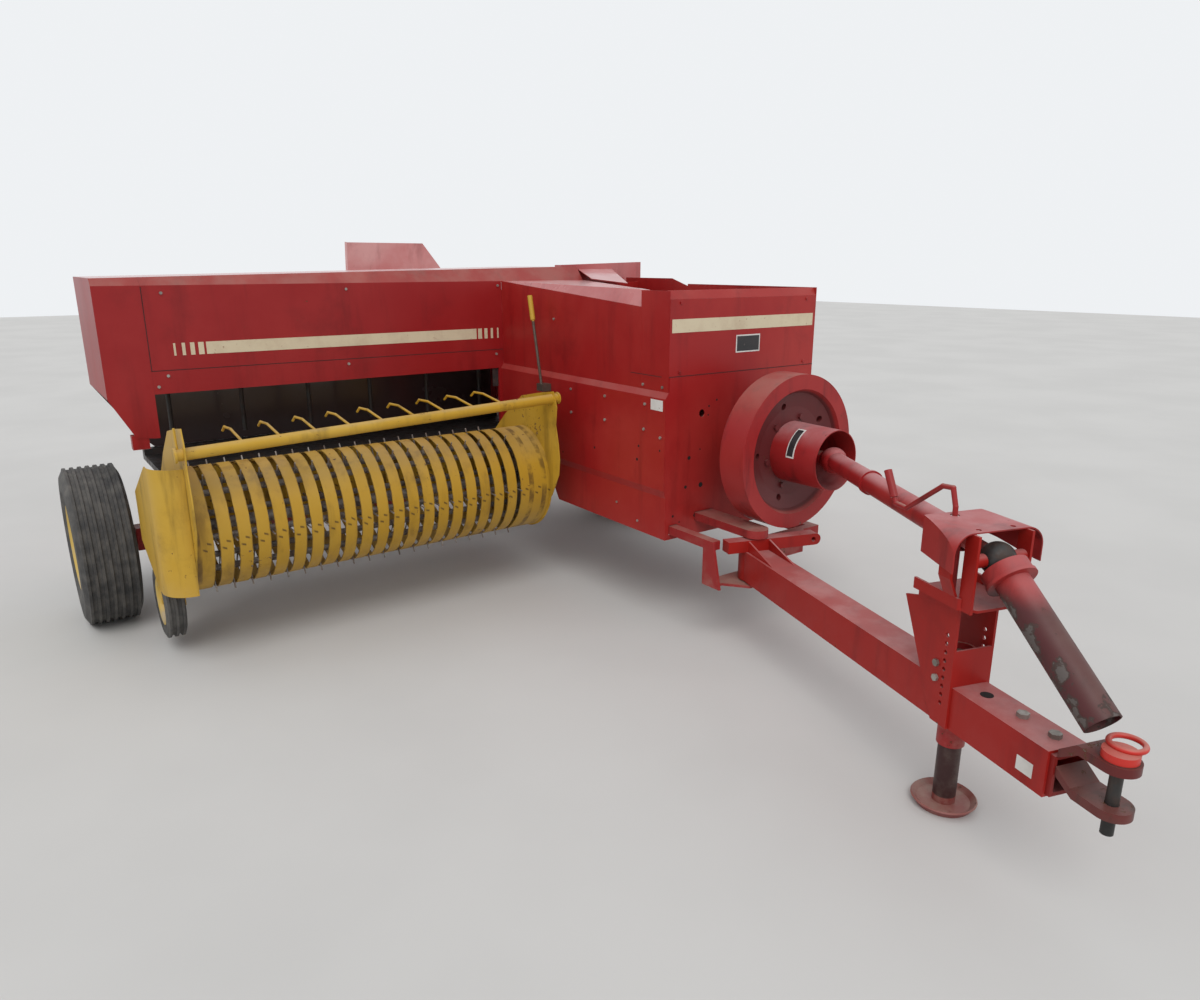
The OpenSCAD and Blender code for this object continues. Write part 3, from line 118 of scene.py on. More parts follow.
class Tree:
    """Adds nodes to a shader tree or a geometry tree."""

    def __init__(self, data: bpy.types.NodeTree) -> None:
        """Keeps the Blender tree."""
        self.data = data

    def add(self, kind: str, settings: dict[str, object] | None = None,
            values: dict[int | str, Value] | None = None, output: int | str = 0) -> Wire:
        """Adds a node.

        Args:
            kind: Blender's node type.
            settings: the node's own properties, which are set first.
            values: a number, colour or wire for each input.
            output: the output that is wanted.

        Returns:
            The output as a wire.
        """
        node = self.data.nodes.new(kind)
        for key, value in (settings or {}).items():
            setattr(node, key, value)
        for key, value in (values or {}).items():
            self.feed(node.inputs[key], value)
        return Wire(self, node.outputs[output])

    def feed(self, socket: bpy.types.NodeSocket, value: Value) -> None:
        """Links a wire to a socket, or sets its number or colour."""
        if isinstance(value, Wire):
            self.data.links.new(value.socket, socket)
        elif socket.type == "RGBA":
            socket.default_value = (*value, 1.0)
        else:
            socket.default_value = value


@dataclass(frozen=True)
class Grain:
    """Noise over an object's own place.

    Attributes:
        scale: features to the metre.
        detail: octaves.
        rough: how strong the fine octaves are.
        stretch: scale along each axis.
        shift: moves the noise, so that two of them differ.
    """

    scale: float
    detail: float = 3.0
    rough: float = 0.5
    stretch: Triple = (1.0, 1.0, 1.0)
    shift: float = 0.0


@dataclass(frozen=True)
class Patches:
    """Noise that rises smoothly from 0 at one level to 1 at another."""

    grain: Grain
    low: float
    high: float


class Painter(Tree):
    """A material's tree, with the patterns that weathered metal needs."""

    COLOUR_A, COLOUR_B, COLOUR_OUT = 6, 7, 2

    def __init__(self, name: str) -> None:
        """Makes an empty material."""
        self.material = bpy.data.materials.new(name)
        self.material.use_nodes = True
        self.material.node_tree.nodes.clear()
        super().__init__(self.material.node_tree)
        self.place = self.add("ShaderNodeTexCoord", output="Object")

    def noise(self, grain: Grain) -> Wire:
        """Noise from 0 to 1."""
        where = self.add("ShaderNodeMapping", None,
                         {"Vector": self.place, "Scale": grain.stretch, "Location": (grain.shift,) * 3})
        return self.add("ShaderNodeTexNoise", None, {"Vector": where, "Scale": grain.scale,
                                                     "Detail": grain.detail, "Roughness": grain.rough})

    def band(self, value: Wire, low: float, high: float) -> Wire:
        """Rises smoothly from 0 at low to 1 at high."""
        return self.add("ShaderNodeMapRange", {"interpolation_type": "SMOOTHSTEP"},
                        {"Value": value, "From Min": low, "From Max": high})

    def patches(self, kind: Patches) -> Wire:
        """A share from 0 to 1 that covers the object in patches."""
        return self.band(self.noise(kind.grain), kind.low, kind.high)

    def mix(self, first: Value, second: Value, share: Value) -> Wire:
        """Mixes two colours."""
        return self.add("ShaderNodeMix", {"data_type": "RGBA"},
                        {0: share, self.COLOUR_A: first, self.COLOUR_B: second}, self.COLOUR_OUT)

    def along(self, axis: str) -> Wire:
        """The place along X, Y or Z, in metres. Along Z it is the height above the ground."""
        return self.add("ShaderNodeSeparateXYZ", None, {0: self.place}, axis)

    def looks(self, axis: str) -> Wire:
        """How far a face looks along X, Y or Z, from -1 to 1."""
        facing = self.add("ShaderNodeTexCoord", output="Normal")
        return self.add("ShaderNodeSeparateXYZ", None, {0: facing}, axis)

    def bump(self, height: Wire, distance: float) -> Wire:
        """Turns a height into a normal."""
        return self.add("ShaderNodeBump", None, {"Height": height, "Distance": distance})

    def principled(self, values: dict[str, Value]) -> Wire:
        """Adds a Principled shader with these inputs."""
        return self.add("ShaderNodeBsdfPrincipled", None, values)

    def end(self, shader: Wire) -> bpy.types.Material:
        """Links a shader to the material's output."""
        node = self.data.nodes.new("ShaderNodeOutputMaterial")
        self.data.links.new(shader.socket, node.inputs["Surface"])
        return self.material


@dataclass(frozen=True)
class Finish:
    """What every finish shares: a name and a shader of its own."""

    name: str

    def shader(self, p: Painter) -> Wire:
        """Builds the finish's shader.

        Args:
            p: the painter of the material.

        Returns:
            The shader's output.
        """
        raise NotImplementedError

    def make(self) -> bpy.types.Material:
        """Builds the material."""
        p = Painter(self.name)
        return p.end(self.shader(p))


@dataclass(frozen=True)
class Enamel(Finish):
    """Weathered enamel on sheet or castings: fading, dust, dirt, chips and rust, with painted light on faces
    that look up where the dust colour is a pale pink.

    Attributes:
        colour, faded, dark: the paint, where it has faded and where it is dirty.
        dust, rust, bare: the colours of dust, rust and bare metal. A pale pink dust colour paints light on
            faces that look up, over some dust.
        fading, grime: how far the faded and dirty patches go.
        top_dust_and_light: how much of the dust colour lies on faces that look up: dust, and painted top
            light where the dust colour is a pale pink.
        mud, mud_height: how much mud there is low down, and where it ends.
        chip_level, chip_size: the level over which paint is gone, and chips to the metre.
        gloss, coat, coat_rough, specular: the shine.
        dents: how uneven the sheet is.
    """

    colour: Colour
    faded: Colour
    dark: Colour
    dust: Colour = (0.42, 0.36, 0.29)
    rust: Colour = (0.105, 0.038, 0.016)
    bare: Colour = (0.25, 0.24, 0.23)
    fading: float = 0.45
    grime: float = 0.35
    top_dust_and_light: float = 0.45
    mud_height: float = 0.55
    mud: float = 0.35
    chip_level: float = 0.655
    chip_size: float = 34.0
    gloss: float = 0.36
    dents: float = 0.5
    coat: float = 0.05
    coat_rough: float = 0.25
    specular: float = 0.3

    FADES = Patches(Grain(1.3, 5, 0.6), 0.36, 0.68)
    STREAKS = Patches(Grain(7.0, 5, 0.62, (1.6, 1.6, 0.22)), 0.5, 0.74)
    BLOTCHES = Patches(Grain(3.1, 6, 0.68, shift=4.0), 0.53, 0.76)
    SPLASHES = Patches(Grain(11.0, 6, 0.6, shift=2.0), 0.4, 0.66)
    TOP_COVER_PATCHES = Patches(Grain(5.0, 5, 0.6, shift=9.0), 0.38, 0.64)
    CHIP_GROUPS = Grain(4.2, 3, 0.5, shift=3.0)
    DENTED = Grain(2.4, 2, 0.4, shift=7.0)
    ORANGE_PEEL = Grain(160.0, 2, 0.5)
    MUD_FULL_BELOW = 0.12
    FACES_UP = (0.35, 0.95)
    EVEN_DUST, PATCHY_DUST = 0.45, 0.55
    SMALL_CHIPS, GROUPED_CHIPS = 0.68, 0.32
    RUST_EDGE = (-0.028, -0.002)
    BARE_EDGE = (0.012, 0.03)
    ROUGH_FADE, ROUGH_DUST, ROUGH_MUD, ROUGH_RUST = 0.16, 0.35, 0.3, 0.3
    PEEL_DEPTH, CHIP_DEPTH, RELIEF = 0.02, 0.06, 0.006
    BARE_METALLIC = 0.7

    def stain(self, p: Painter, colour: Wire) -> Wire:
        """Adds what only this finish has, over the paint and under the chips.

        Args:
            p: the painter of the material.
            colour: the colour so far.

        Returns:
            The new colour.
        """
        return colour

    def chipping(self, p: Painter) -> tuple[Wire, Wire]:
        """Where the paint has gone.

        Returns:
            The share of rust, and the share of bare metal in the middle of the larger chips.
        """
        fine = Grain(self.chip_size, 7, 0.62, shift=6.0)
        chips = p.noise(fine) * self.SMALL_CHIPS + p.noise(self.CHIP_GROUPS) * self.GROUPED_CHIPS
        return tuple(p.band(chips, self.chip_level + low, self.chip_level + high)
                     for low, high in (self.RUST_EDGE, self.BARE_EDGE))

    def shader(self, p: Painter) -> Wire:
        """Builds the shader."""
        fade = p.patches(self.FADES) * self.fading
        colour = p.mix(self.colour, self.faded, fade)
        for dirt in (self.STREAKS, self.BLOTCHES):
            colour = p.mix(colour, self.dark, p.patches(dirt) * self.grime)
        low_down = 1.0 - p.band(p.along("Z"), self.MUD_FULL_BELOW, self.mud_height)
        soiled = low_down * p.patches(self.SPLASHES) * self.mud
        colour = p.mix(colour, self.dust, soiled)
        # Faces that look up take the dust colour: dust where it is beige, and painted top light over some
        # dust where it is a pale pink.
        cover = self.EVEN_DUST + self.PATCHY_DUST * p.patches(self.TOP_COVER_PATCHES)
        dusty = p.band(p.looks("Z"), *self.FACES_UP) * cover * self.top_dust_and_light
        colour = self.stain(p, p.mix(colour, self.dust, dusty))
        rusty, bright = self.chipping(p)
        colour = p.mix(p.mix(colour, self.rust, rusty), self.bare, bright)
        rough = (self.gloss + self.ROUGH_FADE * fade + self.ROUGH_DUST * dusty + self.ROUGH_MUD * soiled
                 + self.ROUGH_RUST * rusty)
        relief = p.noise(self.DENTED) * self.dents + p.noise(self.ORANGE_PEEL) * self.PEEL_DEPTH
        relief = relief - rusty * self.CHIP_DEPTH
        return p.principled({"Base Color": colour, "Roughness": rough,
                             "Metallic": bright * self.BARE_METALLIC, "Coat Weight": self.coat,
                             "Coat Roughness": self.coat_rough, "Specular IOR Level": self.specular,
                             "Normal": p.bump(relief, self.RELIEF)})


@dataclass(frozen=True)
class Bands(Enamel):
    """The pickup's yellow bands, dark along both edges and marked where the tines rub."""

    pitch: float = 0.074
    first_slot: float = -1.210
    edge_colour: Colour = (0.075, 0.036, 0.012)
    rub_colour: Colour = (0.045, 0.020, 0.010)
    rub: Pair = (0.550, 0.566)
    rub_slope: float = 0.034

    SLOTS_BEFORE = 40
    EDGE = (0.155, 0.215)
    EDGE_PATCHES = Patches(Grain(14.0, 5, 0.6, shift=11.0), 0.38, 0.62)
    WAVES = Grain(9.0, 2, 0.5, (1.0, 0.1, 0.1), shift=1.0)
    WAVE_HEIGHT = 0.04
    RUBBED_WIDTH = (0.20, 0.34)
    FACES_FRONT = (0.2, 0.7)
    EDGE_SHARE, RUB_SHARE = 0.7, 0.85

    def stain(self, p: Painter, colour: Wire) -> Wire:
        """Darkens the edges beside the slots, and the rubbed marks across the middle."""
        turns = (p.along("X") - (self.first_slot - self.pitch * self.SLOTS_BEFORE)) * (1 / self.pitch)
        across = turns.to_and_fro(0.5)
        edge = (1.0 - p.band(across, *self.EDGE)) * p.patches(self.EDGE_PATCHES)
        colour = p.mix(colour, self.edge_colour, edge * self.EDGE_SHARE)
        slope = self.rub_slope * ((turns + 0.5).fraction() - 0.5)
        level = p.along("Z") + slope + self.WAVE_HEIGHT * (p.noise(self.WAVES) - 0.5)
        low, high = self.rub
        middle = (low + high) / 2
        mark = p.band(level, low, middle) * (1.0 - p.band(level, middle, high))
        mark = mark * p.band(across, *self.RUBBED_WIDTH) * p.band(0.0 - p.looks("Y"), *self.FACES_FRONT)
        return p.mix(colour, self.rub_colour, mark * self.RUB_SHARE)


@dataclass(frozen=True)
class GreasyHub(Enamel):
    """Enamel that is dark with grease within a radius of a shaft along Y."""

    centre: Pair = (1.015, 0.845)
    radius: float = 0.272
    grease: Colour = (0.075, 0.020, 0.021)

    EDGE = (-0.006, 0.004)
    SHARE = 0.82

    def stain(self, p: Painter, colour: Wire) -> Wire:
        """Darkens the paint inside the radius."""
        aside = p.along("X") - self.centre[0]
        above = p.along("Z") - self.centre[1]
        inner, outer = ((self.radius + step) ** 2 for step in self.EDGE)
        inside = 1.0 - p.band(aside * aside + above * above, inner, outer)
        return p.mix(colour, self.grease, inside * self.SHARE)


@dataclass(frozen=True)
class ShadedInside(Enamel):
    """Enamel on a housing with painted shade on its inner faces behind the mouth."""

    from_y: float = 0.44
    # The colour of the painted shade.
    inside: Colour = (0.045, 0.037, 0.036)

    FADE_IN = 0.05
    FACING = (0.3, 0.6)
    SHARE = 0.95

    def stain(self, p: Painter, colour: Wire) -> Wire:
        """Paints shade on the faces behind the mouth that look forward or down."""
        forward, down = (p.band(0.0 - p.looks(axis), *self.FACING) for axis in "YZ")
        deep = p.band(p.along("Y"), self.from_y, self.from_y + self.FADE_IN)
        return p.mix(colour, self.inside, forward.highest(down) * deep * self.SHARE)


@dataclass(frozen=True)
class Metal(Finish):
    """Unpainted steel: dull, brown in places and greasy in others."""

    colour: Colour
    rust: Colour
    grease: Colour
    metallic: float = 0.75
    rusty: float = 0.5
    gloss: float = 0.42

    TONES = Patches(Grain(22.0, 6, 0.65), 0.42, 0.64)
    GREASE = Patches(Grain(6.5, 5, 0.6, shift=5.0), 0.5, 0.68)
    PITS = Grain(90.0, 5, 0.6)
    GREASE_SHARE, ROUGHER = 0.6, 0.3
    PIT_DEPTH, TONE_DEPTH, RELIEF = 0.4, 0.3, 0.0012

    def shader(self, p: Painter) -> Wire:
        """Builds the shader."""
        tone = p.patches(self.TONES)
        colour = p.mix(self.colour, self.rust, tone * self.rusty)
        colour = p.mix(colour, self.grease, p.patches(self.GREASE) * self.GREASE_SHARE)
        relief = p.noise(self.PITS) * self.PIT_DEPTH + tone * self.TONE_DEPTH
        return p.principled({"Base Color": colour, "Roughness": self.gloss + self.ROUGHER * tone,
                             "Metallic": self.metallic * (1.0 - tone * self.rusty),
                             "Normal": p.bump(relief, self.RELIEF)})


@dataclass(frozen=True)
class Rubber(Finish):
    """Old tyre rubber under a film of dust, with fine cuts."""

    colour: Colour = (0.034, 0.033, 0.033)
    dust: Colour = (0.20, 0.185, 0.165)

    FILM = Patches(Grain(16.0, 6, 0.62), 0.34, 0.72)
    SOIL = Patches(Grain(3.0, 4, 0.6, shift=3.0), 0.42, 0.66)
    CUTS = Grain(70.0, 6, 0.7, shift=8.0)
    FILM_SHARE, SOIL_SHARE = 0.42, 0.22
    ROUGHNESS, ROUGHER, RELIEF = 0.72, 0.2, 0.0025

    def shader(self, p: Painter) -> Wire:
        """Builds the shader."""
        film = p.patches(self.FILM)
        dusty = film * self.FILM_SHARE + p.patches(self.SOIL) * self.SOIL_SHARE
        return p.principled({"Base Color": p.mix(self.colour, self.dust, dusty),
                             "Roughness": self.ROUGHNESS + self.ROUGHER * film,
                             "Normal": p.bump(p.noise(self.CUTS), self.RELIEF)})


@dataclass(frozen=True)
class Film(Finish):
    """A thin printed or painted film: a stripe, a blank plate, a painted shadow line along a panel join, or
    painted shade in an empty hole.
    """

    colour: Colour
    worn: Colour
    gloss: float = 0.42

    SOIL = Patches(Grain(9.0, 6, 0.6), 0.4, 0.72)
    NICKS = Patches(Grain(55.0, 5, 0.6, shift=2.0), 0.66, 0.7)
    SOIL_SHARE, ROUGHER, RELIEF = 0.35, 0.25, 0.0004

    def shader(self, p: Painter) -> Wire:
        """Builds the shader."""
        soiled, nicks = p.patches(self.SOIL), p.patches(self.NICKS)
        colour = p.mix(p.mix(self.colour, self.worn, soiled * self.SOIL_SHARE), self.worn, nicks)
        return p.principled({"Base Color": colour, "Roughness": self.gloss + self.ROUGHER * soiled,
                             "Normal": p.bump(nicks, self.RELIEF)})


@dataclass(frozen=True)
class TwoTone(Finish):
    """One finish above a height and another below it."""

    upper: Finish
    lower: Finish
    level: float
    soft: float = 0.002

    def shader(self, p: Painter) -> Wire:
        """Builds both shaders and mixes them by height."""
        share = p.band(p.along("Z"), self.level - self.soft, self.level + self.soft)
        return p.add("ShaderNodeMixShader", None,
                     {0: share, 1: self.lower.shader(p), 2: self.upper.shader(p)})


BARN_RED: Colour = (0.320, 0.011, 0.011)
DEEP_RED: Colour = (0.115, 0.005, 0.006)
PALE_RED: Colour = (0.45, 0.045, 0.034)
ROOF_COLOURS = ((0.40, 0.045, 0.045), (0.60, 0.22, 0.21), DEEP_RED)
# The pale pink dust colour paints light on the faces of the roof and the shell that look up, over some dust.
ROOF_WEAR_AND_TOP_LIGHT = {"dust": (0.70, 0.47, 0.46), "top_dust_and_light": 0.6, "chip_level": 0.72, "grime": 0.2, "gloss": 0.2,
             "coat_rough": 0.12, "specular": 0.5, "dents": 0.3}
CAST_COLOURS = ((0.30, 0.012, 0.013), (0.41, 0.042, 0.036), (0.065, 0.006, 0.007))
CAST_WEAR = {"grime": 0.6, "dents": 0.25, "gloss": 0.42}
PICKUP_WEAR = {"chip_size": 46.0, "gloss": 0.42, "mud": 0.3, "mud_height": 0.5}

PANEL = Enamel("panel_red", BARN_RED, PALE_RED, DEEP_RED, chip_level=0.70, gloss=0.36, mud=0.12)
HOUSING = Enamel("housing_red", (0.285, 0.009, 0.010), (0.40, 0.034, 0.030), DEEP_RED, chip_level=0.69,
                 gloss=0.38, mud=0.12)
ROOF = Enamel("roof_red", *ROOF_COLOURS, **ROOF_WEAR_AND_TOP_LIGHT, fading=0.6, coat=0.6)
# Painted shade on the shell's faces behind the mouth that look forward or down.
SHELL = ShadedInside("shell_red", *ROOF_COLOURS, **ROOF_WEAR_AND_TOP_LIGHT, fading=0.5, coat=0.5)
CHUTE = Enamel("chute_red", (0.60, 0.19, 0.185), (0.74, 0.41, 0.39), (0.20, 0.04, 0.04), top_dust_and_light=0.5,
               chip_level=0.69, fading=0.8, gloss=0.32, coat=0.2)
# The pale pink dust colour paints light on the castings' faces that look up, over some dust.
CASTING = Enamel("casting_red", *CAST_COLOURS, **CAST_WEAR, chip_level=0.675, top_dust_and_light=0.42,
                 dust=(0.66, 0.42, 0.42))
FLYWHEEL = GreasyHub("flywheel_red", *CAST_COLOURS, **CAST_WEAR, chip_level=0.672, top_dust_and_light=0.25)
FRAME_RED = Enamel("frame_red", (0.27, 0.010, 0.012), (0.38, 0.036, 0.032), (0.055, 0.006, 0.007),
                   chip_level=0.655, grime=0.5, dents=0.2, gloss=0.42, mud=0.3, mud_height=0.62)
# The pinkish dust colour paints light on the tongue's faces that look up, over some dust.
TONGUE_RED = Enamel("tongue_red", (0.305, 0.008, 0.006), (0.395, 0.022, 0.014), (0.105, 0.006, 0.006),
                    chip_level=0.672, grime=0.35, dents=0.15, gloss=0.38, mud=0.03, top_dust_and_light=0.42,
                    dust=(0.64, 0.44, 0.42), specular=0.22)
# The pinkish dust colour paints light on the extension's faces that look up, over some dust.
EXTENSION_RED = Enamel("extension_red", (0.200, 0.006, 0.005), (0.270, 0.017, 0.012), (0.065, 0.006, 0.006),
                       chip_level=0.66, grime=0.5, dents=0.15, gloss=0.42, mud=0.03, top_dust_and_light=0.3,
                       dust=(0.50, 0.32, 0.30), specular=0.22)
CLEVIS = Enamel("greasy_clevis", (0.115, 0.012, 0.012), (0.16, 0.05, 0.04), (0.022, 0.017, 0.015),
                chip_level=0.62, grime=0.9, dents=0.15, gloss=0.38, mud=0.1, top_dust_and_light=0.1)
YELLOW = Enamel("pickup_yellow", (0.50, 0.285, 0.020), (0.58, 0.385, 0.075), (0.13, 0.070, 0.010),
                **PICKUP_WEAR, chip_level=0.652, grime=0.55, dents=0.35, top_dust_and_light=0.25)
BANDS = Bands("band_yellow", (0.44, 0.245, 0.016), (0.50, 0.32, 0.055), (0.13, 0.066, 0.010),
              **PICKUP_WEAR, chip_level=0.660, grime=0.5, dents=0.3, top_dust_and_light=0.2)
RIM = Enamel("rim_yellow", (0.56, 0.36, 0.05), (0.62, 0.47, 0.16), (0.14, 0.09, 0.03),
             chip_level=0.66, mud=0.6)
MAROON = Enamel("worn_maroon", (0.072, 0.013, 0.015), (0.115, 0.035, 0.034), (0.030, 0.016, 0.016),
                rust=(0.066, 0.042, 0.036), bare=(0.17, 0.145, 0.135), chip_level=0.575, chip_size=15.0,
                gloss=0.45, dents=0.2, top_dust_and_light=0.15)
LOOP_RED = Enamel("bright_red", (0.56, 0.026, 0.018), (0.60, 0.08, 0.06), (0.16, 0.02, 0.02),
                  chip_level=0.67, mud=0.1)
FOOT = Enamel("foot_red", (0.19, 0.016, 0.016), (0.27, 0.06, 0.05), (0.05, 0.016, 0.014), mud=0.3,
              mud_height=0.2, chip_level=0.62, top_dust_and_light=0.3)
LEG = Enamel("leg_dark", (0.030, 0.012, 0.012), (0.060, 0.020, 0.018), (0.012, 0.009, 0.009),
             chip_level=0.66, fading=0.5, mud=0.15, gloss=0.4)
STEEL = Metal("bare_steel", (0.30, 0.285, 0.27), (0.12, 0.055, 0.028), (0.03, 0.026, 0.022))
TINE_STEEL = Metal("tine_steel", (0.34, 0.31, 0.28), (0.10, 0.05, 0.03), (0.05, 0.04, 0.03), rusty=0.7)
DARK = Metal("dark_steel", (0.045, 0.042, 0.04), (0.075, 0.038, 0.024), (0.012, 0.011, 0.01), metallic=0.4)
ZINC = Metal("dull_zinc", (0.42, 0.40, 0.37), (0.20, 0.11, 0.07), (0.10, 0.08, 0.06), rusty=0.45)
ROD = Metal("rusty_rod", (0.10, 0.075, 0.06), (0.085, 0.038, 0.022), (0.02, 0.016, 0.014), metallic=0.3,
            rusty=0.8)
JACK_LEG = TwoTone("jack_leg_tones", LEG, FOOT, 0.035)
GUARD = TwoTone("front_guard_tones", CASTING, MAROON, 0.790, 0.035)
HITCH_LOOP = TwoTone("hitch_pin_tones", LOOP_RED, DARK, 0.492)
LEVER = TwoTone("lift_lever_tones", YELLOW, ROD, 1.365)
TYRE = Rubber("tyre_rubber")
CREAM = Film("cream_stripe", (0.64, 0.545, 0.375), (0.40, 0.26, 0.17))
BLACK_PLATE = Film("black_plate", (0.018, 0.018, 0.02), (0.09, 0.07, 0.065))
PALE_PLATE = Film("pale_plate", (0.70, 0.68, 0.64), (0.36, 0.30, 0.26))
# Painted shade: near-black discs in empty holes, where the inside lies in shade.
HOLE_SHADE = Film("hole_shade", (0.006, 0.004, 0.004), (0.015, 0.01, 0.009), 0.8)
# Painted shadow: thin dark strips along panel joins and edges, where shadow lines fall.
SEAM_SHADOW = Film("seam_shadow", (0.035, 0.006, 0.006), (0.06, 0.02, 0.018), 0.7)


class Finishes:
    """Makes each finish once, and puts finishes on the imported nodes."""

    BY_SLOT = {Slot.RED: FRAME_RED, Slot.YELLOW: YELLOW, Slot.RIM: RIM, Slot.MAROON: MAROON,
               Slot.STEEL: STEEL, Slot.DARK: DARK, Slot.RUBBER: TYRE}
    NODES = {HOUSING: ("feeder_front_panel", "feeder_strip", "feeder_end_panel"),
             PANEL: ("side_panel", "upper_panel", "front_panel", "left_panel", "twine_box", "knotter_hood"),
             CHUTE: ("bale_chute",), SHELL: ("feeder_shell",), ROOF: ("roof_panel",), FLYWHEEL: ("flywheel",),
             # The feeder floor takes dark steel as painted shade inside the feeder mouth; the forks are dark
             # steel.
             CASTING: ("drive_bell", "rear_guard", "drive_cover"), DARK: ("feeder_floor", "feeder_forks"),
             TONGUE_RED: ("tongue_beam", "support_tower"), EXTENSION_RED: ("tongue_extension",),
             CLEVIS: ("hitch_clevis",), HITCH_LOOP: ("hitch_pin",), JACK_LEG: ("jack_leg",),
             FRAME_RED: ("jack_crank",), GUARD: ("front_guard",), LEVER: ("lift_lever",),
             TINE_STEEL: ("tine_reel",), BANDS: ("stripper_bands",)}
    BY_NODE = {node: finish for finish, nodes in NODES.items() for node in nodes}

    def __init__(self) -> None:
        """Starts with no material made."""
        self.made: dict[str, bpy.types.Material] = {}

    def get(self, finish: Finish) -> bpy.types.Material:
        """The material of a finish, made the first time."""
        if finish.name not in self.made:
            self.made[finish.name] = finish.make()
        return self.made[finish.name]

    def dress_nodes(self) -> None:
        """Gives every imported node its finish."""
        slots = {part["node"]: Slot(part["material_slot"]) for part in frame["record"]["subparts"]}
        for name, node in frame["nodes"].items():
            material = self.get(self.BY_NODE.get(name, self.BY_SLOT[slots[name]]))
            if not node.material_slots:
                node.data.materials.append(material)
            for holder in node.material_slots:
                holder.material = material
            LOG.info("finish %s on %s", material.name, name)


def in_scene(name: str, data: bpy.types.ID) -> bpy.types.Object:
    """Makes an object of a mesh, lamp or camera, and links it to the scene."""
    made = bpy.data.objects.new(name, data)
    bpy.context.scene.collection.objects.link(made)
    return made


def add_piece(name: str, mesh: bpy.types.Mesh, body: str) -> None:
    """Makes a piece and logs it.

    Args:
        name: the piece's name.
        mesh: its finished mesh.
        body: the body that carries it.
    """
    piece = in_scene(name, mesh)
    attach(piece, body)
    LOG.info("piece %s on %s, %d faces", piece.name, body, len(piece.data.polygons))


@dataclass
class Stud:
    """Where a repeated small part sits: its place, the way it faces and its size."""

    place: Vector
    facing: Vector
    size: float = 1.0


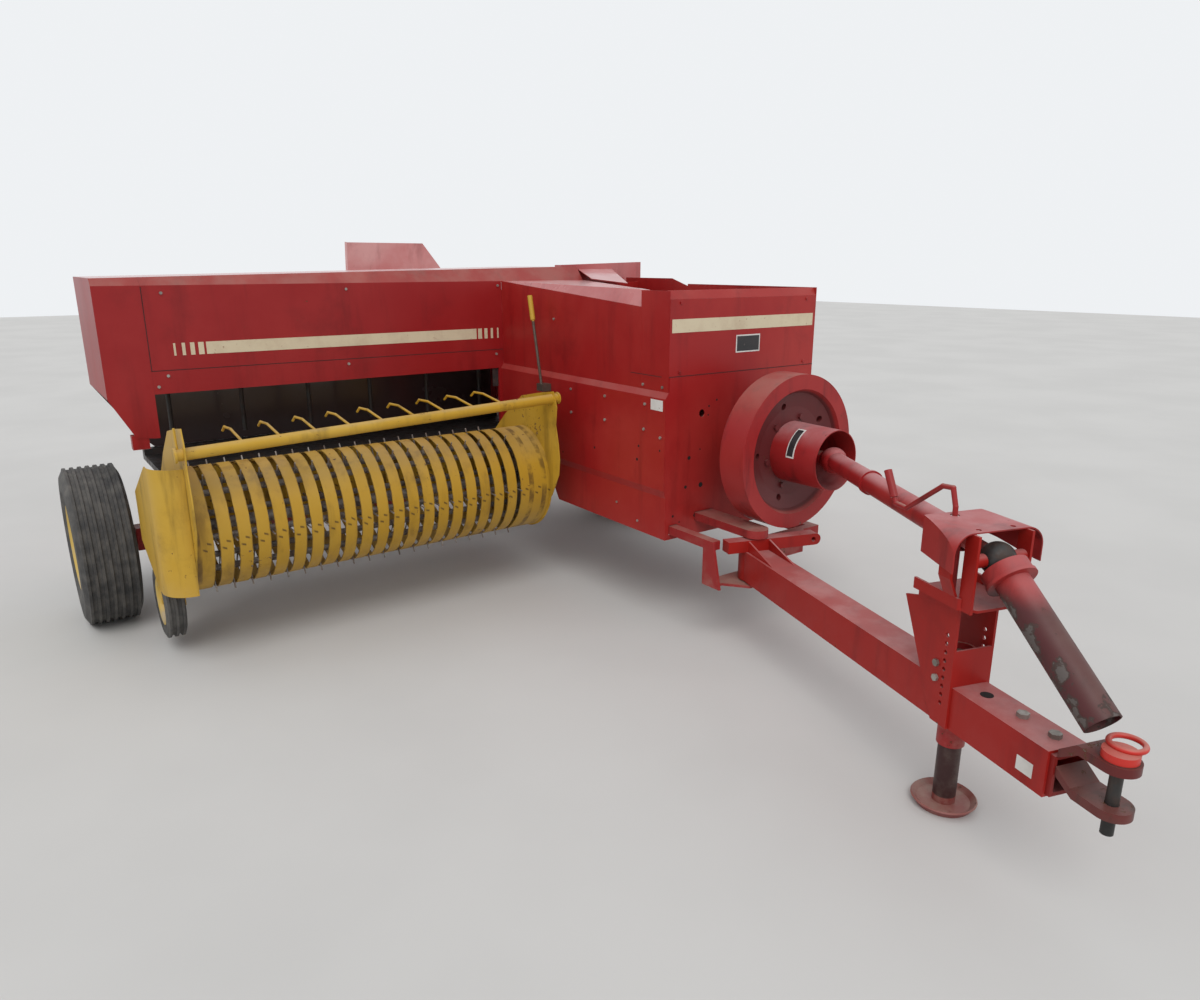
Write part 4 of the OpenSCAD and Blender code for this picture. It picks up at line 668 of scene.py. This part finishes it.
class Repeater(Tree):
    """A Geometry Nodes tree that puts a small part on each point of a mesh."""

    FULL_TURN = 6.28
    SEED = 5
    RANDOM_LOW, RANDOM_HIGH, RANDOM_OUT = 2, 3, 1

    def __init__(self, name: str, sizes: dict[str, float], shape: Callable[["Repeater"], Wire],
                 material: bpy.types.Material) -> None:
        """Builds the tree.

        Args:
            name: the tree's name.
            sizes: its named inputs and their values.
            shape: draws the small part, with its foot at the point and its top along +Z.
            material: the finish of every copy.
        """
        super().__init__(bpy.data.node_groups.new(name, "GeometryNodeTree"))
        face = self.data.interface
        face.new_socket("Points", in_out="INPUT", socket_type="NodeSocketGeometry")
        for key in sizes:
            face.new_socket(key, in_out="INPUT", socket_type="NodeSocketFloat")
        face.new_socket("Result", in_out="OUTPUT", socket_type="NodeSocketGeometry")
        self.sizes = sizes
        self.start = self.data.nodes.new("NodeGroupInput")
        copies = self.add("GeometryNodeInstanceOnPoints", None,
                          {"Points": self.size("Points"), "Instance": shape(self),
                           "Rotation": self.turned(), "Scale": self.stored("size", "FLOAT")})
        real = self.add("GeometryNodeRealizeInstances", None, {0: copies})
        done = self.add("GeometryNodeSetMaterial", None, {"Geometry": real, "Material": material})
        end = self.data.nodes.new("NodeGroupOutput")
        self.data.links.new(done.socket, end.inputs[0])

    def stored(self, name: str, kind: str) -> Wire:
        """A value that the points carry."""
        return self.add("GeometryNodeInputNamedAttribute", {"data_type": kind}, {"Name": name})

    def turned(self) -> Wire:
        """Turns each copy to face its own way, and by a random angle about that."""
        turn = self.add("FunctionNodeAlignRotationToVector", {"axis": "Z"},
                        {"Vector": self.stored("facing", "FLOAT_VECTOR")})
        spin = self.add("FunctionNodeRandomValue", {"data_type": "FLOAT"},
                        {self.RANDOM_LOW: 0.0, self.RANDOM_HIGH: self.FULL_TURN, "Seed": self.SEED},
                        self.RANDOM_OUT)
        about = self.add("ShaderNodeCombineXYZ", None, {"Z": spin})
        return self.add("FunctionNodeRotateRotation", {"rotation_space": "LOCAL"}, {0: turn, 1: about})

    def size(self, name: str) -> Wire:
        """A named input of the tree."""
        return Wire(self, self.start.outputs[name])

    def drum(self, radius: Value, height: Wire, foot: Wire, sides: int) -> Wire:
        """A short cylinder.

        Args:
            radius, height: its size.
            foot: the height that it stands on.
            sides: the number of its sides.

        Returns:
            The mesh of the cylinder.
        """
        drum = self.add("GeometryNodeMeshCylinder", None,
                        {"Vertices": sides, "Radius": radius, "Depth": height})
        lift = self.add("ShaderNodeCombineXYZ", None, {"Z": foot + height * 0.5})
        return self.add("GeometryNodeTransform", None, {"Geometry": drum, "Translation": lift})

    def join(self, shapes: Sequence[Wire]) -> Wire:
        """Several shapes as one."""
        node = self.data.nodes.new("GeometryNodeJoinGeometry")
        for shape in reversed(shapes):
            self.data.links.new(shape.socket, node.inputs[0])
        return Wire(self, node.outputs[0])

    def points(self, name: str, studs: Sequence[Stud]) -> bpy.types.Object:
        """Makes a mesh of bare points with each copy's facing and size."""
        mesh = bpy.data.meshes.new(name)
        mesh.from_pydata([tuple(s.place) for s in studs], [], [])
        facing = mesh.attributes.new("facing", "FLOAT_VECTOR", "POINT")
        facing.data.foreach_set("vector", [c for s in studs for c in s.facing])
        mesh.attributes.new("size", "FLOAT", "POINT").data.foreach_set("value", [s.size for s in studs])
        return in_scene(name, mesh)

    def grow(self, name: str, studs: Sequence[Stud], body: str = "frame", slot: Slot = Slot.RED) -> None:
        """Makes one plain mesh of all the copies, riding on a body.

        Args:
            name: the piece's name.
            studs: where the copies go.
            body: the body that carries them.
            slot: the record's material slot; not used.
        """
        holder = self.points(name + ".points", studs)
        modifier = holder.modifiers.new("grow", "NODES")
        modifier.node_group = self.data
        for item in self.data.interface.items_tree:
            if item.name in self.sizes and item.in_out == "INPUT":
                modifier[item.identifier] = self.sizes[item.name]
        seen = holder.evaluated_get(bpy.context.evaluated_depsgraph_get())
        result = bpy.data.meshes.new_from_object(seen)
        holder.modifiers.clear()
        bpy.data.objects.remove(holder)
        add_piece(name, result, body)


@dataclass(frozen=True)
class BoltDrum:
    """A drum of a bolt, in shares of the head's radius and height."""

    radius: float
    height: float
    foot: float
    sides: int


WASHER = BoltDrum(1.5, 0.25, -0.3, 16)
HEXAGON = BoltDrum(1.0, 1.0, -0.1, 6)
HOLE_SIDES = 20


def bolt_shape(r: Repeater) -> Wire:
    """A hexagon head on a washer."""
    radius, height = r.size("Head radius"), r.size("Head height")
    return r.join([r.drum(radius * d.radius, height * d.height, height * d.foot, d.sides)
                   for d in (WASHER, HEXAGON)])


def hole_shape(r: Repeater) -> Wire:
    """A thin dark disc in a sheet: painted shade in an empty hole."""
    thickness = r.size("Thickness")
    return r.drum(r.size("Radius"), thickness, thickness * -0.5, HOLE_SIDES)


FORWARD = Vector((0, -1, 0))
RIGHT = Vector((-1, 0, 0))
UP = Vector((0, 0, 1))
ALONG = Vector((1, 0, 0))


class Sheetwork:
    """Gathers thin closed slabs into one mesh."""

    LIFT, SINK = 0.0007, 0.0005

    def __init__(self) -> None:
        """Starts empty."""
        self.points: list[Vector] = []
        self.faces: list[tuple[int, ...]] = []

    def slab(self, grid: Sequence[Sequence[Vector]], out: Callable[[Vector], Vector], lift: float,
             sink: float) -> None:
        """Adds a slab over a grid of points.

        Args:
            grid: rows of points on the carrying surface.
            out: the outward direction at a point.
            lift: how far the outer face stands out.
            sink: how far the inner face lies in.
        """
        rows, cols = len(grid), len(grid[0])
        base, count = len(self.points), rows * cols
        for offset in (lift, -sink):
            self.points.extend(p + out(p) * offset for row in grid for p in row)

        def at(row: int, col: int, inner: bool) -> int:
            """A point's number."""
            return base + row * cols + col + (count if inner else 0)

        for i in range(rows - 1):
            for j in range(cols - 1):
                corners = [(i, j), (i, j + 1), (i + 1, j + 1), (i + 1, j)]
                self.faces.append(tuple(at(m, n, False) for m, n in corners))
                self.faces.append(tuple(at(m, n, True) for m, n in [corners[0], *corners[:0:-1]]))
        rim = ([(0, j) for j in range(cols)] + [(i, cols - 1) for i in range(1, rows)]
               + [(rows - 1, j) for j in range(cols - 2, -1, -1)] + [(i, 0) for i in range(rows - 2, 0, -1)])
        for (i, j), (m, n) in zip(rim, rim[1:] + rim[:1]):
            self.faces.append((at(i, j, False), at(i, j, True), at(m, n, True), at(m, n, False)))

    def panel(self, corner: Vector, along: Vector, up: Vector, out: Vector, lift: float = LIFT,
              sink: float = SINK) -> None:
        """Adds a flat slab from one corner and its two sides."""
        self.slab([[corner, corner + along], [corner + up, corner + up + along]], lambda _: out, lift, sink)

    def front(self, y: float, spans: Spans, lift: float = LIFT, sink: float = SINK) -> "Sheetwork":
        """Adds a rectangle that faces forward, from its spans along X and Z, and returns the whole."""
        x0, x1, z0, z1 = spans
        self.panel(Vector((x0, y, z0)), ALONG * (x1 - x0), UP * (z1 - z0), FORWARD, lift, sink)
        return self

    def right(self, x: float, spans: Spans) -> "Sheetwork":
        """Adds a rectangle that faces right, from its spans along Y and Z, and returns the whole."""
        y0, y1, z0, z1 = spans
        self.panel(Vector((x, y0, z0)), Vector((0, y1 - y0, 0)), UP * (z1 - z0), RIGHT)
        return self

    def finish(self, name: str, material: bpy.types.Material, body: str = "frame") -> None:
        """Makes a piece of the slabs, with every face turned outwards.

        Args:
            name: the piece's name.
            material: its finish.
            body: the body that carries it.
        """
        mesh = bpy.data.meshes.new(name)
        mesh.from_pydata([tuple(p) for p in self.points], [], self.faces)
        work = bmesh.new()
        work.from_mesh(mesh)
        bmesh.ops.recalc_face_normals(work, faces=work.faces)
        work.to_mesh(mesh)
        work.free()
        mesh.materials.append(material)
        add_piece(name, mesh, body)


def ring(count: int, radius: float, turn: float = 0.0) -> list[Pair]:
    """Places around a circle from the top, across and up from its centre."""
    angles = [2 * math.pi * (i + turn) / count for i in range(count)]
    return [(radius * math.sin(a), radius * math.cos(a)) for a in angles]


@dataclass
class Fasteners:
    """The kinds of small parts that repeat over the machine."""

    finishes: Finishes
    bolt_radius: float = 0.0085
    bolt_height: float = 0.007
    hole_radius: float = 0.01
    hole_thickness: float = 0.001
    bolt: Repeater = field(init=False)
    painted_bolt: Repeater = field(init=False)
    hole: Repeater = field(init=False)

    def __post_init__(self) -> None:
        """Builds the trees."""
        head = {"Head radius": self.bolt_radius, "Head height": self.bolt_height}
        disc = {"Radius": self.hole_radius, "Thickness": self.hole_thickness}
        self.bolt = Repeater("zinc_bolt", head, bolt_shape, self.finishes.get(ZINC))
        self.painted_bolt = Repeater("painted_bolt", head, bolt_shape, self.finishes.get(FLYWHEEL))
        self.hole = Repeater("sheet_hole", disc, hole_shape, self.finishes.get(HOLE_SHADE))


@dataclass
class Housing:
    """The feeder housing's front: its stripe with bars at both ends, bolts, painted shadow lines along its
    panel joins and the jamb's plate.
    """

    stripe: Spans = (-1.008, 0.394, 1.249, 1.305)
    bars: int = 4
    bar_width: float = 0.024
    bar_thinner: float = 0.005
    bar_gap: float = 0.010
    bar_wider: float = 0.0055
    bolts: tuple[Pair, ...] = ((-1.170, 1.527), (-0.328, 1.531), (0.535, 1.536), (-1.184, 1.160),
                               (-1.228, 1.113), (-0.343, 1.160), (0.515, 1.160))
    bolt_size: float = 0.85
    # The width of the dark strips that paint the shadow lines.
    shadow_width: float = 0.0032
    bend: float = 1.555
    jamb: Spans = (0.494, 0.545, 0.975, 1.078)
    jamb_depth: float = 0.013
    jamb_thick: float = 0.002

    def stripe_spans(self) -> list[Pair]:
        """The stripe and its bars, each from its low end to its high end along X."""
        spans = [self.stripe[:2]]
        for side, edge in zip((-1, 1), self.stripe[:2]):
            for i in range(self.bars):
                near = edge + side * (self.bar_gap + i * self.bar_wider)
                edge = near + side * (self.bar_width - i * self.bar_thinner)
                spans.append((min(near, edge), max(near, edge)))
        return spans

    def build(self, small: Fasteners, finishes: Finishes) -> None:
        """Makes the housing's pieces."""
        low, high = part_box("feeder_front_panel")
        y = low.y
        stripe = Sheetwork()
        for start, end in self.stripe_spans():
            stripe.front(y, (start, end, *self.stripe[2:]))
        stripe.finish("housing_stripe", finishes.get(CREAM))
        studs = [Stud(Vector((x, y, z)), FORWARD, self.bolt_size) for x, z in self.bolts]
        small.bolt.grow("housing_bolts", studs)
        # Painted shadow: thin dark strips under the front panel's lower edge and along its end join.
        seam_shadows = Sheetwork()
        seam_shadows.front(y, (low.x, high.x, low.z, low.z + self.shadow_width))
        seam_shadows.front(y, (low.x, low.x + self.shadow_width, low.z, self.bend))
        seam_shadows.finish("housing_seam_shadows", finishes.get(SEAM_SHADOW))
        jamb = Sheetwork().front(y + self.jamb_depth, self.jamb, 0.0, self.jamb_thick)
        jamb.finish("jamb_plate", finishes.get(DARK))


@dataclass
class Body:
    """The front body: stripe, blank plates, bolts, painted shadow lines along panel joins, and dark discs of
    painted shade in the empty holes of its panels.

    Rectangles are spans along X or Y and along Z. Bolts are places on a panel, and holes have a size too.
    """

    stripe: Spans = (0.572, 1.472, 1.363, 1.421)
    plate: Spans = (0.958, 1.112, 1.258, 1.338)
    plate_border: float = 0.006
    film_step: float = 0.0004
    label: Spans = (-1.106, -1.022, 1.022, 1.070)
    # The width of the dark strips that paint the shadow lines.
    shadow_width: float = 0.003
    box_seam: float = 1.172
    seam_start: float = 0.03
    seam_length: float = 0.22
    low_inset: float = 0.012
    side_bolts: tuple[Pair, ...] = ((-0.381, 1.040), (-0.383, 0.922), (-0.674, 1.040), (-0.674, 0.925),
                                    (-0.981, 1.041), (-0.976, 0.925), (-1.094, 0.903))
    side_size: float = 0.85
    low_bolts: tuple[Pair, ...] = ((-0.758, 0.529), (-0.922, 0.473))
    low_size: float = 0.7
    upper_bolts: tuple[Pair, ...] = ((-0.203, 1.379), (-0.943, 1.125), (-1.08, 1.125))
    upper_size: float = 0.8
    box_bolts: tuple[Pair, ...] = ((0.62, 1.19), (1.42, 1.19), (0.62, 1.49), (1.42, 1.49))
    box_size: float = 0.8
    side_holes: tuple[Triple, ...] = ((-0.586, 0.772, 0.6), (-0.938, 0.840, 0.6), (-0.927, 0.775, 0.7),
                                      (-1.09, 0.843, 0.5), (-0.3, 0.70, 0.5))
    front_holes: tuple[Triple, ...] = ((0.690, 0.797, 0.9), (0.766, 0.660, 1.2), (0.673, 0.662, 0.8),
                                       (0.734, 0.517, 0.8), (0.600, 0.534, 0.6), (0.803, 1.025, 0.5),
                                       (0.800, 0.985, 0.4), (0.850, 1.05, 0.5), (0.756, 0.83, 0.4),
                                       (0.86, 0.50, 0.5), (0.64, 0.50, 0.4))

    def build(self, small: Fasteners, finishes: Finishes) -> None:
        """Makes the body's pieces."""
        box_low, box_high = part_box("twine_box")
        front = box_low.y
        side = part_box("side_panel")[0].x
        self.plates(front, side, finishes)
        self.fasteners(front, side, small)
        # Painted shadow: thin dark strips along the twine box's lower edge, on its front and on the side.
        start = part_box("front_panel")[0].y + self.seam_start
        top = self.box_seam + self.shadow_width
        seam_shadows = Sheetwork().front(front, (box_low.x, box_high.x, self.box_seam, top))
        seam_shadows.right(side, (start, start + self.seam_length, self.box_seam, top))
        seam_shadows.finish("body_seam_shadows", finishes.get(SEAM_SHADOW))
        studs = [Stud(Vector((x, front, z)), FORWARD, self.box_size) for x, z in self.box_bolts]
        small.painted_bolt.grow("box_bolts", studs)

    def plates(self, front: float, side: float, finishes: Finishes) -> None:
        """Makes the stripe, the blank plate on its border and the blank label."""
        x0, x1, z0, z1 = self.plate
        inset = self.plate_border
        inner = (x0 + inset, x1 - inset, z0 + inset, z1 - inset)
        for name, sheet, finish in (
                ("box_stripe", Sheetwork().front(front, self.stripe), CREAM),
                ("plate_border", Sheetwork().front(front, self.plate), PALE_PLATE),
                ("blank_plate", Sheetwork().front(front - self.film_step, inner), BLACK_PLATE),
                ("blank_label", Sheetwork().right(side, self.label), PALE_PLATE)):
            sheet.finish(name, finishes.get(finish))

    def fasteners(self, front: float, side: float, small: Fasteners) -> None:
        """Makes the bolts of the side panels, and dark discs of painted shade in the empty holes."""
        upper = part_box("upper_panel")[0].x
        rows = ((side, self.side_bolts, self.side_size),
                (side + self.low_inset, self.low_bolts, self.low_size),
                (upper, self.upper_bolts, self.upper_size))
        bolts = [Stud(Vector((x, y, z)), RIGHT, size) for x, places, size in rows for y, z in places]
        small.bolt.grow("body_bolts", bolts)
        # Painted shade: dark discs in the empty holes of the side and front panels.
        holes = [Stud(Vector((side, y, z)), RIGHT, size) for y, z, size in self.side_holes]
        holes += [Stud(Vector((x, front, z)), FORWARD, size) for x, z, size in self.front_holes]
        small.hole.grow("panel_holes", holes)


@dataclass
class DriveDress:
    """The flywheel's flange bolts, and the blank plate around the bell.

    The plate's angles are in degrees from the top, towards the machine's right.
    """

    plate_angles: Pair = (27.0, 88.0)
    plate_span: Pair = (-1.572, -1.530)
    steps: int = 14
    border: Pair = (3.0, 0.005)
    film_step: float = 0.0004
    film_lift: float = 0.0008
    film_sink: float = 0.003
    flange_bolts: int = 6
    flange_radius: float = 0.158
    flange_turn: float = 0.3
    flange_size: float = 1.7

    def build(self, small: Fasteners, finishes: Finishes) -> None:
        """Makes the pieces that turn with the flywheel."""
        low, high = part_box("flywheel")
        centre = (low + high) / 2
        bell_low, bell_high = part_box("drive_bell")
        radius = (bell_high.x - bell_low.x) / 2
        self.plate("bell_plate", centre, radius, (0.0, 0.0), finishes.get(PALE_PLATE))
        self.plate("bell_plate_inner", centre, radius + self.film_step, self.border,
                   finishes.get(BLACK_PLATE))
        studs = [Stud(Vector((centre.x + across, bell_high.y, centre.z + up)), FORWARD, self.flange_size)
                 for across, up in ring(self.flange_bolts, self.flange_radius, self.flange_turn)]
        small.painted_bolt.grow("flange_bolts", studs, "flywheel")

    def plate(self, name: str, centre: Vector, radius: float, border: Pair,
              material: bpy.types.Material) -> None:
        """Makes a curved plate that lies on the bell.

        Args:
            name: the piece's name.
            centre: a point on the bell's axis.
            radius: the radius that the plate lies on.
            border: how far it is drawn in, in degrees around the bell and in metres along it.
            material: its finish.
        """
        angle, inset = border
        start, end = math.radians(self.plate_angles[0] + angle), math.radians(self.plate_angles[1] - angle)
        turns = [start + (end - start) * i / self.steps for i in range(self.steps + 1)]
        rows = [[Vector((centre.x - radius * math.sin(a), y, centre.z + radius * math.cos(a))) for a in turns]
                for y in (self.plate_span[0] + inset, self.plate_span[1] - inset)]

        def outward(p: Vector) -> Vector:
            """Away from the bell's axis."""
            return Vector((p.x - centre.x, 0, p.z - centre.z)).normalized()

        sheet = Sheetwork()
        sheet.slab(rows, outward, self.film_lift, self.film_sink)
        sheet.finish(name, material, "flywheel")


@dataclass
class TongueDress:
    """Bolts, a blank label and a dark disc of painted shade in a hole on the tongue, given in the tongue's
    own frame.
    """

    swing: float = -17.5
    pivot: Pair = (0.790, -1.463)
    half_width: float = 0.064
    top: float = 0.436
    top_bolts: tuple[Pair, ...] = ((0.008, -1.538), (0.008, -1.650))
    top_size: float = 2.1
    top_hole: Pair = (0.003, -1.407)
    hole_size: float = 1.9
    tower_bolts: tuple[Pair, ...] = ((-1.2745, 0.491), (-1.2775, 0.443))
    tower_size: float = 1.4
    tower_step: float = 0.0083
    label: Spans = (-1.660, -1.604, 0.330, 0.372)

    def place(self, x: float, y: float, z: float) -> Vector:
        """A point of the tongue's frame, in the machine's frame."""
        a = math.radians(self.swing)
        return Vector((self.pivot[0] + x * math.cos(a) - y * math.sin(a),
                       self.pivot[1] + x * math.sin(a) + y * math.cos(a), z))

    def build(self, small: Fasteners, finishes: Finishes) -> None:
        """Makes the pieces that swing with the tongue."""
        side = Matrix.Rotation(math.radians(self.swing), 3, "Z") @ RIGHT
        tower = -self.half_width - self.tower_step
        studs = [Stud(self.place(x, y, self.top), UP, self.top_size) for x, y in self.top_bolts]
        studs += [Stud(self.place(tower, y, z), side, self.tower_size) for y, z in self.tower_bolts]
        small.bolt.grow("tongue_bolts", studs, "tongue")
        # Painted shade: a dark disc in the hole on the tongue's top.
        hole = Stud(self.place(*self.top_hole, self.top), UP, self.hole_size)
        small.hole.grow("tongue_hole", [hole], "tongue")
        y0, y1, z0, z1 = self.label
        corner = self.place(-self.half_width, y0, z0)
        sheet = Sheetwork()
        sheet.panel(corner, self.place(-self.half_width, y1, z0) - corner, UP * (z1 - z0), side)
        sheet.finish("tongue_label", finishes.get(PALE_PLATE), "tongue")


@dataclass
class WheelDress:
    """Nuts around each hub."""

    nuts: int = 6
    circle: float = 0.082
    disc_step: float = 0.030
    nut_size: float = 1.4

    def build(self, small: Fasteners) -> None:
        """Makes the nuts of both wheels."""
        for side, out in (("right", -1), ("left", 1)):
            low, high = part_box(side + "_rim")
            centre = (low + high) / 2
            face = centre.x + out * self.disc_step
            facing = Vector((out, 0, 0))
            studs = [Stud(Vector((face, centre.y + across, centre.z + up)), facing, self.nut_size)
                     for across, up in ring(self.nuts, self.circle)]
            small.bolt.grow(side + "_wheel_nuts", studs, side + "_wheel", Slot.RIM)


@dataclass
class Studio:
    """Camera, floor and light."""

    eye: Triple = (-1.860, -3.963, 1.65)
    pitch: float = 74.5
    heading: float = -35.8
    lens: float = 25.5
    sensor: float = 36.0
    floor_size: float = 60.0
    floor_colour: Colour = (0.60, 0.585, 0.56)
    floor_shade: float = 0.94
    floor_rough: float = 0.9
    floor_patches: Patches = Patches(Grain(0.8, 4), 0.3, 0.7)
    sky_colour: Colour = (0.93, 0.96, 1.0)
    sky_light: float = 0.78
    seen_sky: Colour = (0.86, 0.88, 0.90)
    sun_strength: float = 1.25
    sun_angle: float = 40.0
    sun_turn: Triple = (38.0, -18.0, -12.0)

    def camera(self) -> None:
        """Sets up the photograph's view."""
        data = bpy.data.cameras.new("view")
        data.lens, data.sensor_width = self.lens, self.sensor
        eye = in_scene("view", data)
        eye.location = self.eye
        eye.rotation_euler = Euler((math.radians(self.pitch), 0, math.radians(self.heading)), "XYZ")
        bpy.context.scene.camera = eye

    def floor(self) -> None:
        """Lays the pale floor."""
        half = self.floor_size / 2
        corners = [(-half, -half, 0), (half, -half, 0), (half, half, 0), (-half, half, 0)]
        mesh = bpy.data.meshes.new("floor")
        mesh.from_pydata(corners, [], [(0, 1, 2, 3)])
        piece = in_scene("floor", mesh)
        p = Painter("floor")
        shaded = tuple(self.floor_shade * c for c in self.floor_colour)
        colour = p.mix(self.floor_colour, shaded, p.patches(self.floor_patches))
        mesh.materials.append(p.end(p.principled({"Base Color": colour, "Roughness": self.floor_rough})))

    def light(self) -> None:
        """A soft high lamp, and an even sky that shows nearly white to the camera and in reflections."""
        lamp = bpy.data.lights.new("soft_sun", "SUN")
        lamp.energy = self.sun_strength
        lamp.angle = math.radians(self.sun_angle)
        in_scene("soft_sun", lamp).rotation_euler = Euler([math.radians(a) for a in self.sun_turn], "XYZ")
        world = bpy.data.worlds.new("sky")
        bpy.context.scene.world = world
        world.use_nodes = True
        world.node_tree.nodes.clear()
        tree = Tree(world.node_tree)
        seen, shiny, clear = (tree.add("ShaderNodeLightPath", output=f"Is {kind} Ray")
                              for kind in ("Camera", "Glossy", "Transmission"))
        shown = seen.highest(shiny).highest(clear)
        even = tree.add("ShaderNodeBackground", None, {"Color": self.sky_colour, "Strength": self.sky_light})
        pale = tree.add("ShaderNodeBackground", None, {"Color": self.seen_sky, "Strength": 1.0})
        both = tree.add("ShaderNodeMixShader", None, {0: shown, 1: even, 2: pale})
        end = world.node_tree.nodes.new("ShaderNodeOutputWorld")
        world.node_tree.links.new(both.socket, end.inputs["Surface"])

    def build(self) -> None:
        """Makes the studio."""
        self.camera()
        self.floor()
        self.light()
        bpy.context.scene.view_settings.view_transform = "Standard"


def main() -> None:
    """Builds the studio, the finishes and each sub-assembly's small parts."""
    logging.basicConfig(level=logging.INFO, format="%(message)s")
    Studio().build()
    finishes = Finishes()
    finishes.dress_nodes()
    small = Fasteners(finishes)
    Housing().build(small, finishes)
    Body().build(small, finishes)
    DriveDress().build(small, finishes)
    TongueDress().build(small, finishes)
    WheelDress().build(small)


if __name__ == "__main__":
    main()
